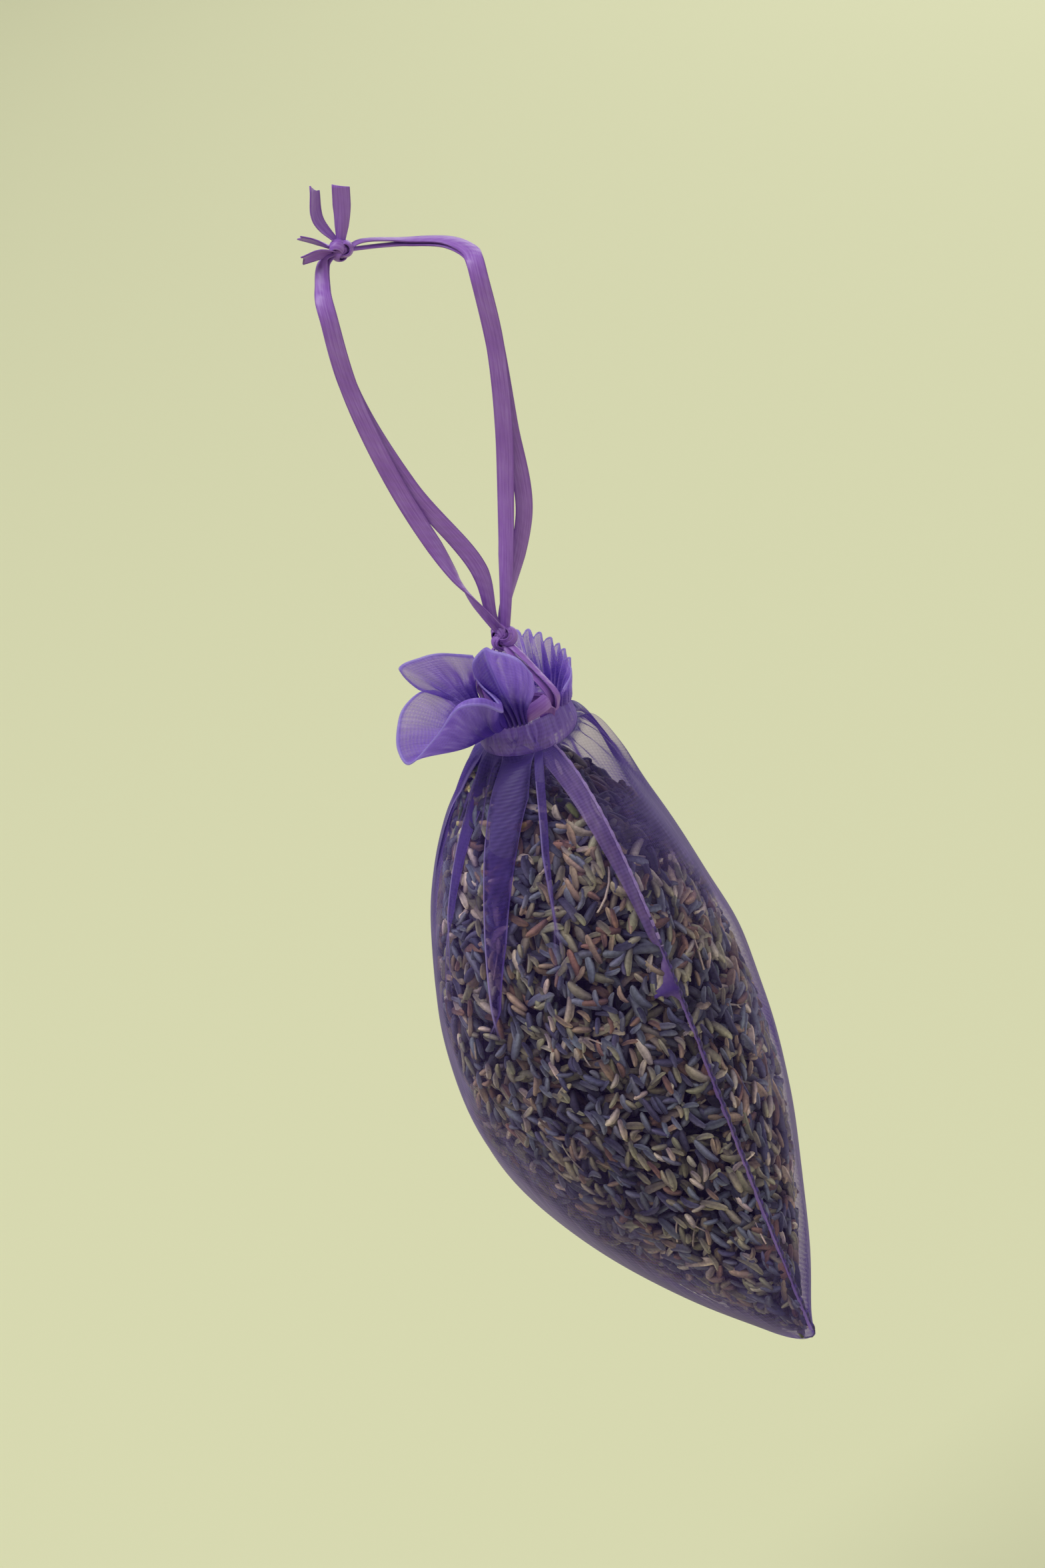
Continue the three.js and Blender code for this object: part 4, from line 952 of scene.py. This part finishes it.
def frill_surface(lobes, length, folds, plies, rows=41):
    """A header cloth: a smooth line through the lobes is its free edge, and from the casing's ring a cubic
    Bezier runs out to each point of it, leaving at one lean and arriving at the other. Folds push it out
    and up, and plies, spread evenly along the edge, say how many layers lie together."""
    turn, out, up = np.radians(lobes[:, 1]), NECK_RADIUS + lobes[:, 2], FRILL_ROOT + lobes[:, 3]
    edge = smooth_line(outward_at(turn) * out[:, None] + plumb * up[:, None], 28)
    place = np.linspace(0, len(lobes) - 1, len(edge))
    column = lambda k: np.interp(place, np.arange(len(lobes)), lobes[:, k])
    edge_out = outward_at(np.arctan2(edge[:, 0], -edge[:, 1]))
    root_out = outward_at(np.radians(column(0)))
    root = root_out * NECK_RADIUS + plumb * FRILL_ROOT
    rise = root + 0.36 * length * leaning(root_out, np.radians(column(4)))
    hold = edge - (column(6) * length)[:, None] * leaning(edge_out, np.radians(column(5)))
    u, v = np.linspace(0, 1, len(edge))[:, None], np.linspace(0, 1, rows)[None, :]
    points = bezier(np.stack([root, rise, hold, edge], 1)[:, None], v)
    push, raised = folds(u, v)
    points = points + edge_out[:, None] * push[..., None] + plumb * raised[..., None]
    run = np.concatenate([[0], np.cumsum(np.linalg.norm(np.diff(edge, axis=0), axis=1))])
    lying = np.linalg.norm(np.diff(points, axis=0), axis=-1).sum(0)[None, :]
    layers = np.clip(run[-1] / lying, 1, 3) * np.interp(u, np.linspace(0, 1, len(plies)), plies)
    layers = layers * (1 + 1.2 * (1 - ease(0.1, 0.5, v)))
    return points, marks_of(run[:, None], v * length, layers), u, v


def front_gathers(u, v):
    """Tight gathers at the casing that run out towards the edge, and a pleat in the upright petal."""
    wave = np.cos(2 * np.pi * 17 * u + 1.5 * np.sin(8 * u))
    pleat = -2.0 * hump(u, PETAL_PLEAT, 0.02) * ease(0.25, 0.75, v)
    return pleat + 0.85 * (1 - v) ** 1.5 * wave * np.sin(np.pi * u) ** 0.3, 0 * (u + v)


def back_crinkles(u, v):
    """Crinkles of uneven width that stay from the casing to the edge, each with a rounded top, and a smooth
    stretch beside the right slit, with tight gathers at the casing."""
    phase = 2 * np.pi * np.interp(u, (0, 0.3, 0.42, 0.5, 0.62, 1), (0, 1.6, 2.9, 4.3, 5.6, 10))
    broad = ease(0.22, 0.36, u) * ease(0, 0.06, 1 - u)
    tight = np.cos(2 * np.pi * 19 * u + 1.5 * np.sin(8 * u)) * ease(0, 0.06, np.minimum(u, 1 - u))
    push = (0.75 - 0.3 * v) * broad * np.cos(phase + 0.8 * v) + 0.85 * (1 - v) * tight
    return push, 1.3 * v**2 * broad * (np.abs(np.cos(phase / 2 + 0.4 * v)) ** 0.7 - 0.8)


FRONT_PLIES = (1.5, 1.5, 1.4, 3.0, 3.2, 1.8, 1.6, 1.6, 1.5, 1.2, 1.0, 0.9, 0.8, 0.85, 0.9, 0.95, 1.0)
for name, lobes, length, folds, plies, crease_shine_strength in (
    ("front_frill", FRONT_LOBES, 20.0, front_gathers, FRONT_PLIES, 0.7),
    ("back_frill", BACK_LOBES, 11.0, back_crinkles, (0.8, 0.8), 0.0),
):
    middle, marks, u, v = frill_surface(lobes, length, folds, plies)
    normal = unit(np.cross(np.gradient(middle, axis=1), np.gradient(middle, axis=0)))
    points, faces, marks = two_sided(middle, normal, FRILL_HALF_THICK, marks)
    # Painted highlight along the frill's free edge and along the petal pleat's crease
    crease_shine = crease_shine_strength * hump(u, PETAL_PLEAT, 0.004) * ease(0.3, 0.7, v)
    edge = np.repeat(np.maximum(ease(0.955, 0.99, v), crease_shine)[..., None], 3, -1)
    piece_of(
        f"{name}_cloth", (points, faces[:, ::-1], marks), lit_frill_organza, "organza", "pouch", [name],
        cloth_edge=np.stack([edge, edge]),
    )


# Seams: the two panels are sewn together on both sides and along the bottom with deep violet thread. The
# allowance inside leans on the front panel near the neck, and shows as a denser band along the seam. The
# allowance and the ridge along the upper seam get pale organza colours as a painted highlight.

# Polyester sewing thread, twisted from plies that slant across it, with a painted highlight: its deep
# violet dye is lighter on each ply's crest
PLY_SPACING = 0.89
thread_dye, add_node = new_material("polyester_thread")
run_of_thread = add_node("Attribute", attribute_name="cloth_mm").outputs["Vector"]
ply = add_node(
    "TexWave", {"Vector": run_of_thread, "Scale": SLANT_SPACING / PLY_SPACING, "Distortion": 1.0},
    bands_direction="DIAGONAL",
).outputs["Fac"]
# Dye colour with a painted highlight on each ply
dye_and_ply_shine = add_node("ValToRGB", {0: ply})
blended_stops(dye_and_ply_shine.color_ramp, [(0.2, "#26104e"), (0.8, "#3e2274")])
relief = add_node("Bump", {"Strength": 0.5, "Distance": 0.0001, "Height": ply})
surface = add_node("BsdfPrincipled", {
    "Base Color": dye_and_ply_shine, "Roughness": 0.5, "Normal": relief, "Sheen Weight": 0.2,
})
add_node("OutputMaterial", {"Surface": surface})


def sewn(line, outward, gauge=0.55, stitch=2.4, dip=0.12):
    """A sewn thread: a six-sided section carried along the line. At the end of each stitch it sinks into
    the cloth, by the cosine of the run along it, and in between it swells."""
    path, run = spaced(line, stitch / 12)
    share, keys = np.linspace(0, 1, len(path)), np.linspace(0, 1, len(line))
    outward = np.stack([np.interp(share, keys, column) for column in outward.T], 1)
    along = unit(np.gradient(path, axis=0))
    side = unit(np.cross(along, plumb + 0.3 * loop_right))
    top = np.cross(side, along)
    bob = np.cos(2 * np.pi * run / stitch)[:, None]
    size = gauge / 2 * (0.75 + 0.25 * np.clip(bob + 0.4, 0, 1))
    turn = (2 * np.pi * np.arange(ROD_SIDES) / ROD_SIDES)[:, None]
    ring = side[:, None] * np.cos(turn) + top[:, None] * np.sin(turn)
    points = (path + outward * dip * bob)[:, None] + ring * size[:, None]
    marks = marks_of(np.arange(ROD_SIDES)[None, :] * gauge / 2, run[:, None], 1.0)
    return points, rod_faces(len(path)), marks


# Painted highlight: pale, dense organza for the seam's ridge and allowance
seam_highlight_organza = organza_of("organza_seam_edge", 0.4, [(0.3, "#ae90dc"), (0.55, "#c6aae8"), (0.75, "#dcc8f4")])
ALLOWANCE_COLUMNS = 9
for name, hand in (("right_side_seam", 1.0), ("left_side_seam", -1.0)):
    v = np.linspace(0.0, 1.0, 300)
    seam = bezier(SEAM_CURVE, v)
    line = np.stack([hand * seam[:, 0], 0 * v, seam[:, 1]], 1)
    outward = unit(np.cross(unit(np.gradient(line, axis=0)), np.array([0, hand, 0.0])))
    ridge = sewn(line[v < 0.45], outward[v < 0.45], gauge=0.6, dip=0.03)
    piece_of(f"{name}_ridge", ridge, seam_highlight_organza, "organza", "pouch")
    flap = np.interp(v, (0.462, 0.512, 0.532), (0, 1, 0))[:, None]
    tuck = np.linspace(0, 1, ALLOWANCE_COLUMNS)[None, :]
    width = np.interp(v, (0, 0.2, 0.44), (3.8, 3.2, 1.4))[:, None] + 3.2 * flap
    lean = np.radians(74 * np.maximum(1 - ease(0.42, 0.46, v[:, None]), flap) + 3 * np.sin(40 * v)[:, None])
    points = (
        line[:, None] - outward[:, None] * (width * tuck * np.cos(lean))[..., None]
        - np.array([0, 1.0, 0]) * (0.12 + width * tuck * np.sin(lean))[..., None]
    )
    marks = marks_of(width * tuck, v[:, None] * PANEL_LENGTH, 0.65 + 4 * flap)
    strip = (points, grid_faces(numbered(points)), marks)
    piece_of(f"{name}_allowance", strip, seam_highlight_organza, "organza", "pouch")
    thread = sewn(line[v > 0.4], outward[v > 0.4])
    piece_of(f"{name}_thread", thread, thread_dye, "seam_thread", "pouch", [name])

line = pouch_wall(-1.0, np.linspace(0, np.pi, 300), np.ones(300), gap=0.0)
thread = sewn(line, np.broadcast_to(-plumb, line.shape), gauge=0.3, dip=0.05)
piece_of("bottom_seam_thread", thread, thread_dye, "seam_thread", "pouch", ["bottom_seam"])


# Studio: a wide pale floor well below the hanging pouch, and large soft lamps.

FLOOR_LEVEL = -330.0
floor_paint, add_node = new_material("matte_floor")
surface = add_node("BsdfPrincipled", {"Base Color": linear("#d9dbb2"), "Roughness": 0.9})
add_node("OutputMaterial", {"Surface": surface})
span = np.linspace(-4000, 4000, 9)
points = np.stack(np.broadcast_arrays(span[None, :], span[:, None], FLOOR_LEVEL), -1)
floor = piece_of("floor", (points, grid_faces(numbered(points))), floor_paint)

LAMP_AIM, LAMP_DISTANCE = np.array([0, 0, -0.12]), 2.4
for name, (right, up, back), power, size in (
    ("key_lamp", (-0.75, 0.75, 0.6), 44.0, 1.6),
    ("fill_lamp", (0.9, 0.3, 0.5), 14.0, 2.0),
    ("rear_lamp", (0.3, 0.8, -0.7), 20.0, 1.6),
):
    light = bpy.data.lights.new(name, "AREA")
    light.energy, light.size = power, size
    direction = unit(right * camera_right + up * camera_up + back * towards_camera)
    level = unit(np.cross(plumb, direction))
    put(name, light, LAMP_AIM + LAMP_DISTANCE * direction, level, np.cross(direction, level), direction)
world = bpy.data.worlds.new("studio")
world.use_nodes = True
world.node_tree.nodes["Background"].inputs["Color"].default_value = linear("#eceae2")
world.node_tree.nodes["Background"].inputs["Strength"].default_value = 0.32
scene.world = world
scene.view_settings.view_transform = "Standard"
scene.cycles.transparent_max_bounces = 32
